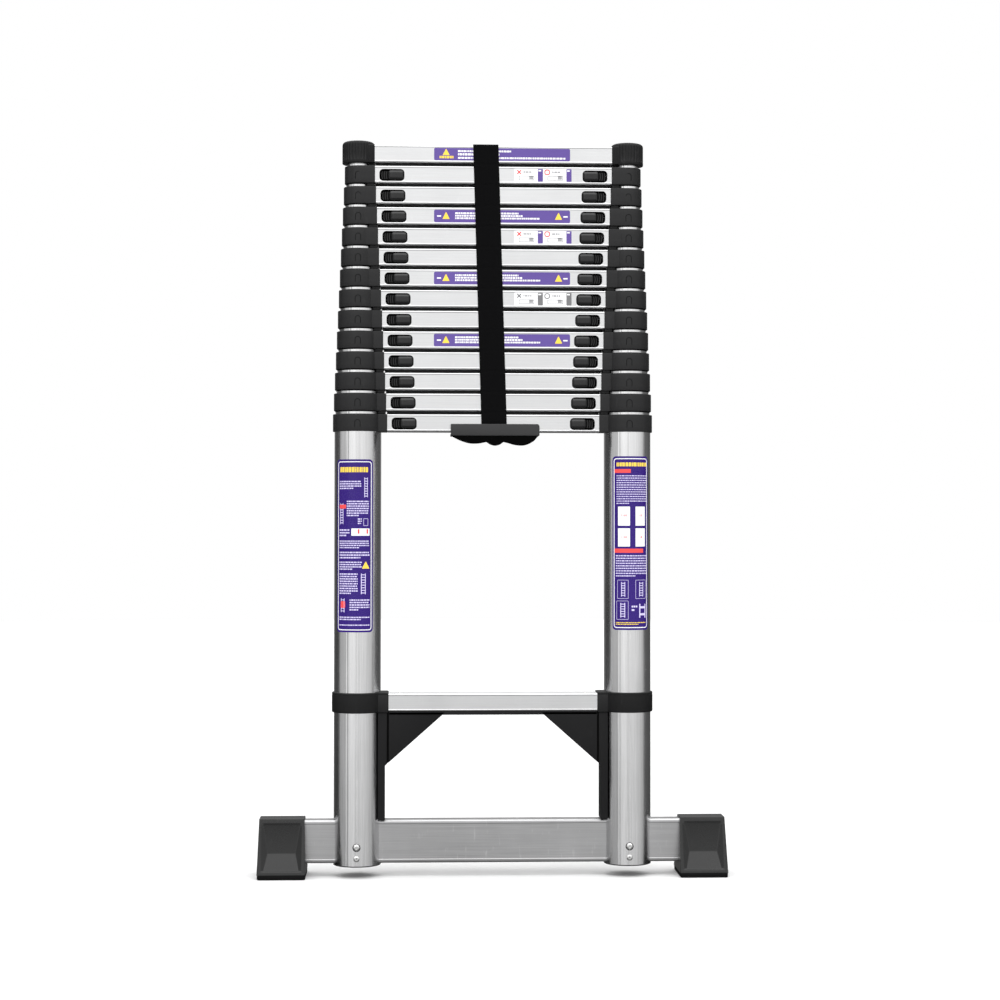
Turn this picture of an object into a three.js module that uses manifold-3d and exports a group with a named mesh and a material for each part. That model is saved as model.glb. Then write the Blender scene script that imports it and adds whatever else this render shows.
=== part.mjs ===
import * as THREE from 'three';
import { mergeVertices } from 'three/addons/utils/BufferGeometryUtils.js';
import Module from 'manifold-3d';

const wasm = await Module();
wasm.setup();

// Sizes in millimetres: X runs left to right, the front faces -Y and Z is up.
const RUNG_COUNT = 14;
const RUNG_PITCH = 31;
const RUNG_HEIGHT = 26;
const RUNG_DEPTH = 40;
const RUNG_WALL = 1.5;
const LOWEST_RUNG_Z = 662.5;

const TUBE_OFFSET = 202.5;
const TUBE_LARGEST_RADIUS = 35;
const TUBE_RADIUS_STEP = 1.4;
const TUBE_WALL = 1.1;
const TUBE_SIDES = 16;
const SECTION_TUBE_LENGTH = 379;
const TUBE_TOP_BELOW_COLLAR_TOP = 1;
const BASE_TUBE_BOTTOM = 18;

const COLLAR_THICKNESS = 2.5;
const COLLAR_BITE = 0.5;
const FLANGE_LONGEST_REACH = 44;
const FLANGE_REACH_STEP = 1.58;
const FLANGE_DEPTH = 44;
const FLANGE_PLUG_LENGTH = 4;
const GAP = 0.3;

const SLOT_WIDTH = 37.4;
const SLOT_HEIGHT = 18;
const SLOT_CHAMFER = 4;
const SLOT_FROM_FLANGE = 6.5;
const SLOT_CENTRE_Z = 12;
const BUTTON_WIDTH = 23.4;
const BUTTON_PROUD = 1.5;
const BUTTON_TRAVEL = 8.5;
const SLIDER_WIDTH = 20;
const SLIDER_HEIGHT = 14;
const SLIDER_BACK = 6;
const PIN_RADIUS = 3.2;
const PIN_SIDES = 8;

const CAP_RADIUS = 24.3;
const CAP_SIDES = 24;
const CAP_BOTTOM = -0.5;
const CAP_TOP = 32.5;
const CAP_CHAMFER = 5;
const CAP_LINK_WIDTH = 20;
const CAP_LINK_LOW = 5;
const CAP_LINK_HIGH = 21;

const FIXED_RUNG_Z = 246;
const FIXED_COLLAR_DROP = 2;
const FIXED_COLLAR_RISE = 2;
const FIXED_COLLAR_RADIUS = 38;
const FIXED_FLANGE_REACH = 46.8;

const SPACER_DEPTH = 8;
const SPACER_DROP = 4.4;

const BAR_HALF_LENGTH = 330;
const BAR_DEPTH = 25;
const BAR_BOTTOM = 20;
const BAR_TOP = 84;
const BAR_WALL = 2;

const FOOT_CENTRE_X = 313.5;
const FOOT_HEIGHT = 87;
const FOOT_BOTTOM_WIDTH = 72;
const FOOT_TOP_WIDTH = 67;
const FOOT_BOTTOM_DEPTH = 84;
const FOOT_TOP_DEPTH = 34;
const FOOT_POCKET_WIDTH = 52;

const BRACE_DEPTH = 40;
const BRACE_PLATE = 2.5;
const BRACE_WEB = 2.5;
const BRACE_LEG_INNER = 41.4;
const BRACE_LEG_OUTER = 31;
const BRACE_LEG_TOP = 243.7;
const BRACE_STRIP_HALF = 155.2;
const BRACE_STRIP_LOW = 240.5;
const BRACE_STRIP_HIGH = 245.7;
const BRACE_TIP_X = 75.6;
const BRACE_TIP_Z = 165;

const BOLT_Z = 46;
const BOLT_SHANK_RADIUS = 3;
const BOLT_HEAD_RADIUS = 5.2;
const BOLT_HEAD_HEIGHT = 3;
const RIVET_Z = 29.4;
const RIVET_SHANK_RADIUS = 2.4;
const RIVET_HEAD_RADIUS = 4.6;
const RIVET_HEAD_HEIGHT = 1.4;
const RIVET_BORE_RADIUS = 1.2;
const RIVET_LENGTH = 6;

const STRAP_WIDTH = 38;
const STRAP_THICKNESS = 1.6;
const STRAP_STANDOFF = 0.4;
const STRAP_TOP_X = -11.8;
const STRAP_BOTTOM_X = 1.3;

const HANDLE_CENTRE_X = 2.5;
const HANDLE_HALF_WIDTH = 66.25;
const HANDLE_LIP_TOP = 674;
const HANDLE_LIP_THICKNESS = 3.7;
const HANDLE_PLATE_TOP = 660.3;
const HANDLE_PLATE_BOTTOM = 656.5;
const HANDLE_BACK = 20;
const GRIP_FRONT = -25;
const GRIP_BACK = -3;
const GRIP_OUTLINE = [
  [-63.5, 658], [-60, 655], [-50, 650], [-40, 646.6], [-32, 645], [-22, 645.4], [-14, 647.2],
  [-10, 647.6], [-4, 643.8], [3, 642.2], [10, 643.8], [15.5, 647.6], [22, 646.2], [32, 643.4],
  [43.5, 642.4], [52, 644.2], [60, 648.5], [65, 654], [68.2, 658],
];

const aluminium = { color: 0xd2d4d6, roughness: 0.32, metalness: 1.0 };
const blackPlastic = { color: 0x26272a, roughness: 0.55, metalness: 0.0 };
const buttonPlastic = { color: 0x1a1b1d, roughness: 0.35, metalness: 0.0 };
const blackSteel = { color: 0x202123, roughness: 0.45, metalness: 0.3 };
const rubber = { color: 0x303235, roughness: 0.75, metalness: 0.0 };
const webbing = { color: 0x141517, roughness: 0.9, metalness: 0.0 };
const zinc = { color: 0xb9bbbd, roughness: 0.35, metalness: 1.0 };

// Turns a closed triangle geometry into a solid that can be cut and joined.
function solid(geometry) {
  const bare = geometry.clone();
  bare.deleteAttribute('normal');
  bare.deleteAttribute('uv');
  const welded = mergeVertices(bare, 1e-4);
  const vertProperties = new Float32Array(welded.attributes.position.array);
  const triVerts = new Uint32Array(welded.index.array);
  const made = new wasm.Manifold(new wasm.Mesh({ numProp: 3, vertProperties, triVerts }));
  if (made.volume() > 0) {
    return made;
  }
  for (let i = 0; i < triVerts.length; i += 3) {
    [triVerts[i + 1], triVerts[i + 2]] = [triVerts[i + 2], triVerts[i + 1]];
  }
  return new wasm.Manifold(new wasm.Mesh({ numProp: 3, vertProperties, triVerts }));
}

// Wraps a finished solid as a named mesh with its own material.
function part(name, shape, look) {
  const data = shape.getMesh();
  const geometry = new THREE.BufferGeometry();
  geometry.setAttribute('position', new THREE.BufferAttribute(new Float32Array(data.vertProperties), 3));
  geometry.setIndex(new THREE.BufferAttribute(new Uint32Array(data.triVerts), 1));
  geometry.computeVertexNormals();
  const mesh = new THREE.Mesh(geometry, new THREE.MeshStandardMaterial(look));
  mesh.name = name;
  return mesh;
}

// Block between two corners; the ends of each span may come in either order.
function block([x0, x1], [y0, y1], [z0, z1]) {
  const geometry = new THREE.BoxGeometry(Math.abs(x1 - x0), Math.abs(y1 - y0), Math.abs(z1 - z0));
  geometry.translate((x0 + x1) / 2, (y0 + y1) / 2, (z0 + z1) / 2);
  return solid(geometry);
}

// Upright round bar centred on x, between two heights.
function post(radius, [z0, z1], x, sides = TUBE_SIDES) {
  const profile = [[0, z0], [radius, z0], [radius, z1], [0, z1]];
  const geometry = new THREE.LatheGeometry(profile.map(([r, z]) => new THREE.Vector2(r, z)), sides);
  geometry.rotateX(Math.PI / 2);
  geometry.translate(x, 0, 0);
  return solid(geometry);
}

// Upright open pipe centred on x, between two heights.
function pipe(outer, inner, [z0, z1], x) {
  const profile = [[inner, z0], [outer, z0], [outer, z1], [inner, z1], [inner, z0]];
  const geometry = new THREE.LatheGeometry(profile.map(([r, z]) => new THREE.Vector2(r, z)), TUBE_SIDES);
  geometry.rotateX(Math.PI / 2);
  geometry.translate(x, 0, 0);
  return solid(geometry);
}

// Round pin along X between two x positions.
function pinAlongX(radius, [x0, x1], z) {
  const geometry = new THREE.CylinderGeometry(radius, radius, Math.abs(x1 - x0), PIN_SIDES);
  geometry.rotateZ(Math.PI / 2);
  geometry.translate((x0 + x1) / 2, 0, z);
  return solid(geometry);
}

// Round pin along Y between two y positions.
function pinAlongY(radius, [y0, y1], x, z) {
  const geometry = new THREE.CylinderGeometry(radius, radius, Math.abs(y1 - y0), PIN_SIDES);
  geometry.translate(x, (y0 + y1) / 2, z);
  return solid(geometry);
}

// Outline drawn in X and Z, pulled along Y from its front to its back.
function prismAlongY(outline, front, back) {
  const shape = new THREE.Shape(outline.map(([x, z]) => new THREE.Vector2(x, z)));
  const geometry = new THREE.ExtrudeGeometry(shape, { depth: back - front, bevelEnabled: false });
  geometry.rotateX(Math.PI / 2);
  geometry.translate(0, back, 0);
  return solid(geometry);
}

// Outline drawn in Y and Z, pulled along X over a width about a centre.
function prismAlongX(outline, centreX, width) {
  const shape = new THREE.Shape(outline.map(([y, z]) => new THREE.Vector2(y, z)));
  const geometry = new THREE.ExtrudeGeometry(shape, { depth: width, bevelEnabled: false });
  const turn = new THREE.Matrix4().makeBasis(
    new THREE.Vector3(0, 1, 0),
    new THREE.Vector3(0, 0, 1),
    new THREE.Vector3(1, 0, 0),
  );
  geometry.applyMatrix4(turn);
  geometry.translate(centreX - width / 2, 0, 0);
  return solid(geometry);
}

// Corners of an upright rectangle with its four corners cut off.
function cutCornerOutline(centreX, centreZ, width, height, chamfer) {
  const w = width / 2;
  const h = height / 2;
  return [
    [-w + chamfer, -h], [w - chamfer, -h], [w, -h + chamfer], [w, h - chamfer],
    [w - chamfer, h], [-w + chamfer, h], [-w, h - chamfer], [-w, -h + chamfer],
  ].map(([x, z]) => [centreX + x, centreZ + z]);
}

function tubeRadius(number) {
  return TUBE_LARGEST_RADIUS - TUBE_RADIUS_STEP * (RUNG_COUNT - number);
}

function flangeReach(number) {
  return FLANGE_LONGEST_REACH - FLANGE_REACH_STEP * (RUNG_COUNT - number);
}

function rungBottom(number) {
  return LOWEST_RUNG_Z + RUNG_PITCH * (RUNG_COUNT - number);
}

// Opening in a rung's front wall that a lock button slides in.
function buttonSlot(side, reach) {
  const centre = side * (TUBE_OFFSET - reach - SLOT_FROM_FLANGE - SLOT_WIDTH / 2);
  const outline = cutCornerOutline(centre, SLOT_CENTRE_Z, SLOT_WIDTH, SLOT_HEIGHT, SLOT_CHAMFER);
  return prismAlongY(outline, -RUNG_DEPTH / 2 - 1, -RUNG_DEPTH / 2 + RUNG_WALL + 1);
}

// Hole for a lock pin, from a rung's hollow through to a tube's bore.
function pinHole(side, reach) {
  const span = [side * (TUBE_OFFSET - reach - FLANGE_PLUG_LENGTH - 2), side * TUBE_OFFSET];
  return pinAlongX(PIN_RADIUS + GAP, span, SLOT_CENTRE_Z);
}

// Hollow of a rung between two x positions.
function rungHollow(half) {
  const deep = RUNG_DEPTH / 2 - RUNG_WALL;
  return block([-half, half], [-deep, deep], [RUNG_WALL, RUNG_HEIGHT - RUNG_WALL]);
}

// Collar around a tube, with its flange towards the rung.
function collarBlank(side, radius, reach, [z0, z1]) {
  const deep = FLANGE_DEPTH / 2;
  const flange = block([side * (TUBE_OFFSET - reach), side * TUBE_OFFSET], [-deep, deep], [z0, z1]);
  return post(radius, [z0, z1], side * TUBE_OFFSET).add(flange);
}

// Spacer rib under a moving rung, a hair above the rung below it.
function spacerRib(half) {
  return block([-half, half], [-SPACER_DEPTH / 2, SPACER_DEPTH / 2], [-SPACER_DROP, RUNG_WALL / 2]);
}

// Moving section with buttons: two tubes, their collars and the hollow rung between them.
function sectionFrame(number) {
  const radius = tubeRadius(number);
  const reach = flangeReach(number);
  const half = TUBE_OFFSET - reach;
  const deep = RUNG_DEPTH / 2;
  const tubeTop = RUNG_HEIGHT - TUBE_TOP_BELOW_COLLAR_TOP;
  let body = block([-half - 1, half + 1], [-deep, deep], [0, RUNG_HEIGHT])
    .subtract(rungHollow(half))
    .add(spacerRib(half - 1));
  for (const side of [-1, 1]) {
    const x = side * TUBE_OFFSET;
    const collar = collarBlank(side, radius + COLLAR_THICKNESS, reach, [0, RUNG_HEIGHT])
      .subtract(post(radius - COLLAR_BITE, [-1, RUNG_HEIGHT + 1], x));
    const tube = pipe(radius, radius - TUBE_WALL, [tubeTop - SECTION_TUBE_LENGTH, tubeTop], x);
    body = body.add(collar).add(tube).subtract(pinHole(side, reach)).subtract(buttonSlot(side, reach));
  }
  return part(`section_${String(number).padStart(2, '0')}`, body, aluminium);
}

// Top section: its rung stops at the end caps and is linked to the tubes inside them.
function topSectionFrame() {
  const radius = tubeRadius(1);
  const half = TUBE_OFFSET - CAP_RADIUS - GAP;
  const deep = RUNG_DEPTH / 2;
  const linkDeep = CAP_LINK_WIDTH / 2;
  const tubeTop = RUNG_HEIGHT - TUBE_TOP_BELOW_COLLAR_TOP;
  let body = block([-half, half], [-deep, deep], [0, RUNG_HEIGHT])
    .subtract(rungHollow(half - RUNG_WALL))
    .add(spacerRib(half - 1));
  for (const side of [-1, 1]) {
    const x = side * TUBE_OFFSET;
    const linkEnd = side * (TUBE_OFFSET - radius + TUBE_WALL / 2 + 2);
    const link = block([side * (half - 1), linkEnd], [-linkDeep, linkDeep], [CAP_LINK_LOW, CAP_LINK_HIGH])
      .subtract(post(radius - COLLAR_BITE, [-1, RUNG_HEIGHT + 1], x));
    const tube = pipe(radius, radius - TUBE_WALL, [tubeTop - SECTION_TUBE_LENGTH, tubeTop], x);
    body = body.add(link).add(tube).subtract(pinHole(side, CAP_RADIUS));
  }
  return part('section_01', body, aluminium);
}

// End cap that closes a top tube, with a notch for the link to the rung.
function endCap(side) {
  const profile = [
    [0, CAP_BOTTOM], [CAP_RADIUS, CAP_BOTTOM], [CAP_RADIUS, CAP_TOP - CAP_CHAMFER],
    [CAP_RADIUS - CAP_CHAMFER, CAP_TOP], [0, CAP_TOP],
  ];
  const geometry = new THREE.LatheGeometry(profile.map(([r, z]) => new THREE.Vector2(r, z)), CAP_SIDES);
  geometry.rotateX(Math.PI / 2);
  const notchDeep = CAP_LINK_WIDTH / 2 + GAP;
  const notch = block([0, -side * (CAP_RADIUS + 1)], [-notchDeep, notchDeep], [CAP_BOTTOM - 1, CAP_LINK_HIGH + GAP]);
  const body = solid(geometry)
    .subtract(post(tubeRadius(1) + GAP, [CAP_BOTTOM - 1, RUNG_HEIGHT + GAP], 0))
    .subtract(notch);
  const cap = part(side < 0 ? 'top_cap_left' : 'top_cap_right', body, blackPlastic);
  cap.position.x = side * TUBE_OFFSET;
  return cap;
}

// Lock button: thumb pad in the slot, slider behind it and the pin towards the tube.
function lockButton(number, side) {
  const reach = flangeReach(number);
  const slotInner = TUBE_OFFSET - reach - SLOT_FROM_FLANGE - SLOT_WIDTH;
  const centre = slotInner + GAP + BUTTON_WIDTH / 2;
  const front = -RUNG_DEPTH / 2 - BUTTON_PROUD;
  const wallBack = -RUNG_DEPTH / 2 + RUNG_WALL + GAP;
  const outline = cutCornerOutline(side * centre, SLOT_CENTRE_Z, BUTTON_WIDTH, SLOT_HEIGHT - 2 * GAP, SLOT_CHAMFER);
  const pad = prismAlongY(outline, front, wallBack + 1);
  const sliderHigh = SLIDER_HEIGHT / 2;
  const slider = block(
    [side * (centre - SLIDER_WIDTH / 2), side * (centre + SLIDER_WIDTH / 2)],
    [wallBack, SLIDER_BACK],
    [SLOT_CENTRE_Z - sliderHigh, SLOT_CENTRE_Z + sliderHigh],
  );
  const tip = TUBE_OFFSET - (tubeRadius(number) - TUBE_RADIUS_STEP + GAP) - BUTTON_TRAVEL - GAP;
  const pin = pinAlongX(PIN_RADIUS, [side * centre, side * tip], SLOT_CENTRE_Z);
  const name = `lock_button_${String(number).padStart(2, '0')}_${side < 0 ? 'left' : 'right'}`;
  return part(name, pad.add(slider).add(pin), buttonPlastic);
}

// Big tube of the base, slotted for the stabiliser bar and drilled for its fixings.
function baseTube(side) {
  const bottom = BASE_TUBE_BOTTOM;
  const top = LOWEST_RUNG_Z + RUNG_HEIGHT - TUBE_TOP_BELOW_COLLAR_TOP;
  const x = side * TUBE_OFFSET;
  const outer = TUBE_LARGEST_RADIUS;
  const deep = BAR_DEPTH / 2 + GAP;
  const pinZ = LOWEST_RUNG_Z + SLOT_CENTRE_Z;
  const body = pipe(outer, outer - TUBE_WALL, [bottom, top], x)
    .subtract(block([x - outer - 1, x + outer + 1], [-deep, deep], [BAR_BOTTOM - GAP, BAR_TOP + GAP]))
    .subtract(pinAlongY(BOLT_SHANK_RADIUS + GAP, [-outer - 1, outer + 1], x, BOLT_Z))
    .subtract(pinAlongY(RIVET_SHANK_RADIUS + GAP, [-outer - 1, 0], x, RIVET_Z))
    .subtract(pinAlongX(PIN_RADIUS + GAP, [x, x - side * (outer + 1)], pinZ));
  return part(side < 0 ? 'base_tube_left' : 'base_tube_right', body, aluminium);
}

// Collar of a rung that is fixed to the base tubes, plugged into the rung's end.
function baseCollar(name, side, radius, reach, [z0, z1], rungZ, drilled) {
  const plugDeep = RUNG_DEPTH / 2 - RUNG_WALL - GAP;
  const inner = TUBE_OFFSET - reach - FLANGE_PLUG_LENGTH;
  const plug = block(
    [side * inner, side * (TUBE_OFFSET - reach + 1)],
    [-plugDeep, plugDeep],
    [rungZ + RUNG_WALL + GAP, rungZ + RUNG_HEIGHT - RUNG_WALL - GAP],
  );
  let body = collarBlank(side, radius, reach, [z0, z1])
    .subtract(post(TUBE_LARGEST_RADIUS + GAP, [z0 - 1, z1 + 1], side * TUBE_OFFSET))
    .add(plug);
  if (drilled) {
    body = body.subtract(pinAlongX(PIN_RADIUS + GAP, [side * (inner - 1), side * TUBE_OFFSET], rungZ + SLOT_CENTRE_Z));
  }
  return part(`${name}_${side < 0 ? 'left' : 'right'}`, body, blackPlastic);
}

// Open-ended hollow rung between two base collars.
function baseRung(name, reach, slotted) {
  const half = TUBE_OFFSET - reach - GAP;
  const deep = RUNG_DEPTH / 2;
  let body = block([-half, half], [-deep, deep], [0, RUNG_HEIGHT]).subtract(rungHollow(half + 1));
  if (slotted) {
    body = body.subtract(buttonSlot(-1, reach)).subtract(buttonSlot(1, reach));
  }
  return part(name, body, aluminium);
}

// Pressed steel brace: channel legs on the bar, a strip under the fixed rung and doubled corner plates.
function braceFrame() {
  const legOuter = TUBE_OFFSET - BRACE_LEG_OUTER;
  const legInner = TUBE_OFFSET - BRACE_LEG_INNER;
  const webOuter = legInner + BRACE_WEB;
  const low = BAR_TOP + GAP;
  const right = [
    [BRACE_TIP_X, BRACE_STRIP_LOW], [legInner, BRACE_TIP_Z], [legInner, low], [legOuter, low],
    [legOuter, BRACE_LEG_TOP], [BRACE_STRIP_HALF, BRACE_LEG_TOP], [BRACE_STRIP_HALF, BRACE_STRIP_HIGH],
  ];
  const left = right.map(([x, z]) => [-x, z]).reverse();
  const deep = BRACE_DEPTH / 2;
  const innerDeep = deep - BRACE_PLATE;
  let body = prismAlongY([...right, ...left], -deep, deep)
    .subtract(block([-legInner, legInner], [-innerDeep, innerDeep], [low - 1, BRACE_STRIP_LOW]));
  for (const side of [-1, 1]) {
    const behindWeb = [side * webOuter, side * (legOuter + 1)];
    body = body.subtract(block(behindWeb, [-innerDeep, innerDeep], [low - 1, BRACE_LEG_TOP + 1]));
  }
  return part('brace_frame', body, blackSteel);
}

// Rectangular tube across the bottom, drilled for its fixings.
function stabiliserBar() {
  const deep = BAR_DEPTH / 2;
  const innerDeep = deep - BAR_WALL;
  let body = block([-BAR_HALF_LENGTH, BAR_HALF_LENGTH], [-deep, deep], [BAR_BOTTOM, BAR_TOP])
    .subtract(block(
      [-BAR_HALF_LENGTH - 1, BAR_HALF_LENGTH + 1],
      [-innerDeep, innerDeep],
      [BAR_BOTTOM + BAR_WALL, BAR_TOP - BAR_WALL],
    ));
  for (const side of [-1, 1]) {
    body = body.subtract(pinAlongY(BOLT_SHANK_RADIUS + GAP, [-deep - 1, deep + 1], side * TUBE_OFFSET, BOLT_Z));
  }
  return part('stabiliser_bar', body, aluminium);
}

// Splayed foot with a socket for the bar's end and a hopper-shaped pocket in front.
function foot(side) {
  const geometry = new THREE.BoxGeometry(FOOT_BOTTOM_WIDTH, FOOT_BOTTOM_DEPTH, FOOT_HEIGHT);
  const position = geometry.attributes.position;
  for (let i = 0; i < position.count; i += 1) {
    if (position.getZ(i) > 0) {
      position.setX(i, position.getX(i) * FOOT_TOP_WIDTH / FOOT_BOTTOM_WIDTH);
      position.setY(i, position.getY(i) * FOOT_TOP_DEPTH / FOOT_BOTTOM_DEPTH);
    }
  }
  geometry.translate(side * FOOT_CENTRE_X, 0, FOOT_HEIGHT / 2);
  const pocket = prismAlongX(
    [[-19, 80], [-25, 36], [-41, 12], [-60, 12], [-60, 80]],
    side * FOOT_CENTRE_X,
    FOOT_POCKET_WIDTH,
  );
  const deep = BAR_DEPTH / 2 + GAP;
  const socketInner = side * (FOOT_CENTRE_X - FOOT_BOTTOM_WIDTH / 2 - 1);
  const socketOuter = side * (BAR_HALF_LENGTH + GAP);
  const socket = block([socketInner, socketOuter], [-deep, deep], [BAR_BOTTOM - GAP, BAR_TOP + GAP]);
  const body = solid(geometry).subtract(pocket).subtract(socket);
  return part(side < 0 ? 'foot_left' : 'foot_right', body, rubber);
}

// Bolt through a base tube and the bar, with its nut behind.
function bolt(side) {
  const x = side * TUBE_OFFSET;
  const face = TUBE_LARGEST_RADIUS + GAP;
  const body = pinAlongY(BOLT_SHANK_RADIUS, [-face - 1, face + 1], x, BOLT_Z)
    .add(pinAlongY(BOLT_HEAD_RADIUS, [-face - BOLT_HEAD_HEIGHT, -face], x, BOLT_Z))
    .add(pinAlongY(BOLT_HEAD_RADIUS, [face, face + BOLT_HEAD_HEIGHT], x, BOLT_Z));
  return part(side < 0 ? 'bolt_left' : 'bolt_right', body, zinc);
}

// Hollow blind rivet in the front of a base tube.
function rivet(side) {
  const x = side * TUBE_OFFSET;
  const face = -TUBE_LARGEST_RADIUS - GAP;
  const body = pinAlongY(RIVET_HEAD_RADIUS, [face - RIVET_HEAD_HEIGHT, face], x, RIVET_Z)
    .add(pinAlongY(RIVET_SHANK_RADIUS, [face - 1, face + RIVET_LENGTH], x, RIVET_Z))
    .subtract(pinAlongY(RIVET_BORE_RADIUS, [face - 3, face + RIVET_LENGTH + 1], x, RIVET_Z));
  return part(side < 0 ? 'rivet_left' : 'rivet_right', body, zinc);
}

// Closed webbing loop around the whole stack, leaning a little to one side.
function strap() {
  const bottom = LOWEST_RUNG_Z - STRAP_STANDOFF;
  const top = rungBottom(1) + RUNG_HEIGHT + STRAP_STANDOFF;
  const deep = RUNG_DEPTH / 2 + STRAP_STANDOFF;
  const half = STRAP_WIDTH / 2;
  const thick = STRAP_THICKNESS;
  const lean = (STRAP_TOP_X - STRAP_BOTTOM_X) / (top - bottom);
  const slide = STRAP_BOTTOM_X - lean * bottom;
  const shear = new THREE.Matrix4().set(1, 0, lean, slide, 0, 1, 0, 0, 0, 0, 1, 0, 0, 0, 0, 1);
  const outside = new THREE.BoxGeometry(2 * half, 2 * (deep + thick), top - bottom + 2 * thick);
  const inside = new THREE.BoxGeometry(2 * half + 2, 2 * deep, top - bottom);
  for (const geometry of [outside, inside]) {
    geometry.translate(0, 0, (top + bottom) / 2);
    geometry.applyMatrix4(shear);
  }
  return part('strap', solid(outside).subtract(solid(inside)), webbing);
}

// Carry handle under the lowest stacked rung, with a finger grip and a lip in front of the strap.
function carryHandle() {
  const low = HANDLE_CENTRE_X - HANDLE_HALF_WIDTH;
  const high = HANDLE_CENTRE_X + HANDLE_HALF_WIDTH;
  const lipBack = -RUNG_DEPTH / 2 - STRAP_STANDOFF - STRAP_THICKNESS - GAP;
  const lipFront = lipBack - HANDLE_LIP_THICKNESS;
  let body = block([low, high], [lipFront, lipBack], [HANDLE_PLATE_BOTTOM, HANDLE_LIP_TOP])
    .add(block([low, high], [lipFront, HANDLE_BACK], [HANDLE_PLATE_BOTTOM, HANDLE_PLATE_TOP]))
    .add(prismAlongY(GRIP_OUTLINE, GRIP_FRONT, GRIP_BACK));
  for (const x of [-45, 50]) {
    body = body.add(pinAlongZ(4, [HANDLE_PLATE_TOP - 1, LOWEST_RUNG_Z - GAP], x));
  }
  return part('carry_handle', body, blackPlastic);
}

// Short upright pin on the plane y = 0.
function pinAlongZ(radius, span, x) {
  return post(radius, span, x, PIN_SIDES);
}

function baseGroup() {
  const base = new THREE.Group();
  base.name = 'base';
  base.add(stabiliserBar(), braceFrame(), carryHandle(), strap());
  const stackSpan = [LOWEST_RUNG_Z, LOWEST_RUNG_Z + RUNG_HEIGHT];
  const fixedSpan = [FIXED_RUNG_Z - FIXED_COLLAR_DROP, FIXED_RUNG_Z + RUNG_HEIGHT + FIXED_COLLAR_RISE];
  const stackRadius = TUBE_LARGEST_RADIUS + COLLAR_THICKNESS;
  for (const side of [-1, 1]) {
    base.add(baseTube(side), foot(side), bolt(side), rivet(side));
    base.add(baseCollar('collar_14', side, stackRadius, FLANGE_LONGEST_REACH, stackSpan, LOWEST_RUNG_Z, true));
    base.add(baseCollar(
      'fixed_rung_collar', side, FIXED_COLLAR_RADIUS, FIXED_FLANGE_REACH, fixedSpan, FIXED_RUNG_Z, false,
    ));
  }
  const fixed = baseRung('fixed_rung', FIXED_FLANGE_REACH, false);
  fixed.position.z = FIXED_RUNG_Z;
  const lowest = new THREE.Group();
  lowest.name = 'lowest_stacked_rung';
  lowest.position.z = LOWEST_RUNG_Z;
  lowest.add(baseRung('rung_14', FLANGE_LONGEST_REACH, true), lockButton(RUNG_COUNT, -1), lockButton(RUNG_COUNT, 1));
  base.add(fixed, lowest);
  return base;
}

function sectionGroup(number) {
  const group = new THREE.Group();
  group.name = `stage_${String(number).padStart(2, '0')}`;
  group.position.z = rungBottom(number);
  if (number === 1) {
    group.add(topSectionFrame(), endCap(-1), endCap(1));
  } else {
    group.add(sectionFrame(number), lockButton(number, -1), lockButton(number, 1));
  }
  return group;
}

const ladder = new THREE.Group();
ladder.name = 'telescoping_ladder';
ladder.add(baseGroup());
for (let number = RUNG_COUNT - 1; number >= 1; number -= 1) {
  ladder.add(sectionGroup(number));
}

export default ladder;
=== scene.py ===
"""Telescoping ladder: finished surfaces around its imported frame, with studio light and camera."""

import logging
import math
from collections.abc import Callable, Sequence
from dataclasses import dataclass, field
from enum import Enum

import bmesh
import bpy
import numpy as np
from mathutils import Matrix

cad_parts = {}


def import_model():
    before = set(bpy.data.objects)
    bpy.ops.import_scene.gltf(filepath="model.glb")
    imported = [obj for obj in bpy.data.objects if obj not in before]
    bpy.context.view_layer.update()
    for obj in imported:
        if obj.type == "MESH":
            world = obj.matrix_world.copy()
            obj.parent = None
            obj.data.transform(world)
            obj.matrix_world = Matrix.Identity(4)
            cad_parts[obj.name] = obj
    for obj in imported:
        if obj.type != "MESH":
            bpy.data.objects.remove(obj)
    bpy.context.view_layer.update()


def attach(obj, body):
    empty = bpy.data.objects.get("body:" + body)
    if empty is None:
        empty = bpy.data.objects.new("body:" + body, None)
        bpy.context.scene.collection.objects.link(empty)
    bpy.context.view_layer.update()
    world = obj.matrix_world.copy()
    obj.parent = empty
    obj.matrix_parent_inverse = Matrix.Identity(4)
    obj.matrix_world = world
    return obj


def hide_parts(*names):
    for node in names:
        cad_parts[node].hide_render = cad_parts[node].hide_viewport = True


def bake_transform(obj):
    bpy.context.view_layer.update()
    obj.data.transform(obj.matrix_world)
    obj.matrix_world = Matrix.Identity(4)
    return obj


MM = 0.001
Grid = np.ndarray
Place = Callable[[Grid, Grid, float], Grid]
LOG = logging.getLogger("ladder")


class Axis(Enum):
    """Axis that an outline is carried along."""

    X = "x"
    Y = "y"
    Z = "z"


class Grain(Enum):
    """Direction of the fine marks in a finish, as stretch factors of its noise along X, Y and Z."""

    EVEN = (1.0, 1.0, 1.0)
    ALONG_X = (0.02, 1.0, 1.0)
    ALONG_Z = (1.0, 1.0, 0.02)


class Side(Enum):
    """Left or right half of the ladder, with the sign of its X."""

    LEFT = -1
    RIGHT = 1

    @property
    def label(self) -> str:
        """Word used in piece names."""
        return self.name.lower()


Socket = bpy.types.NodeSocket
Colour = tuple[float, float, float]


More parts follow.
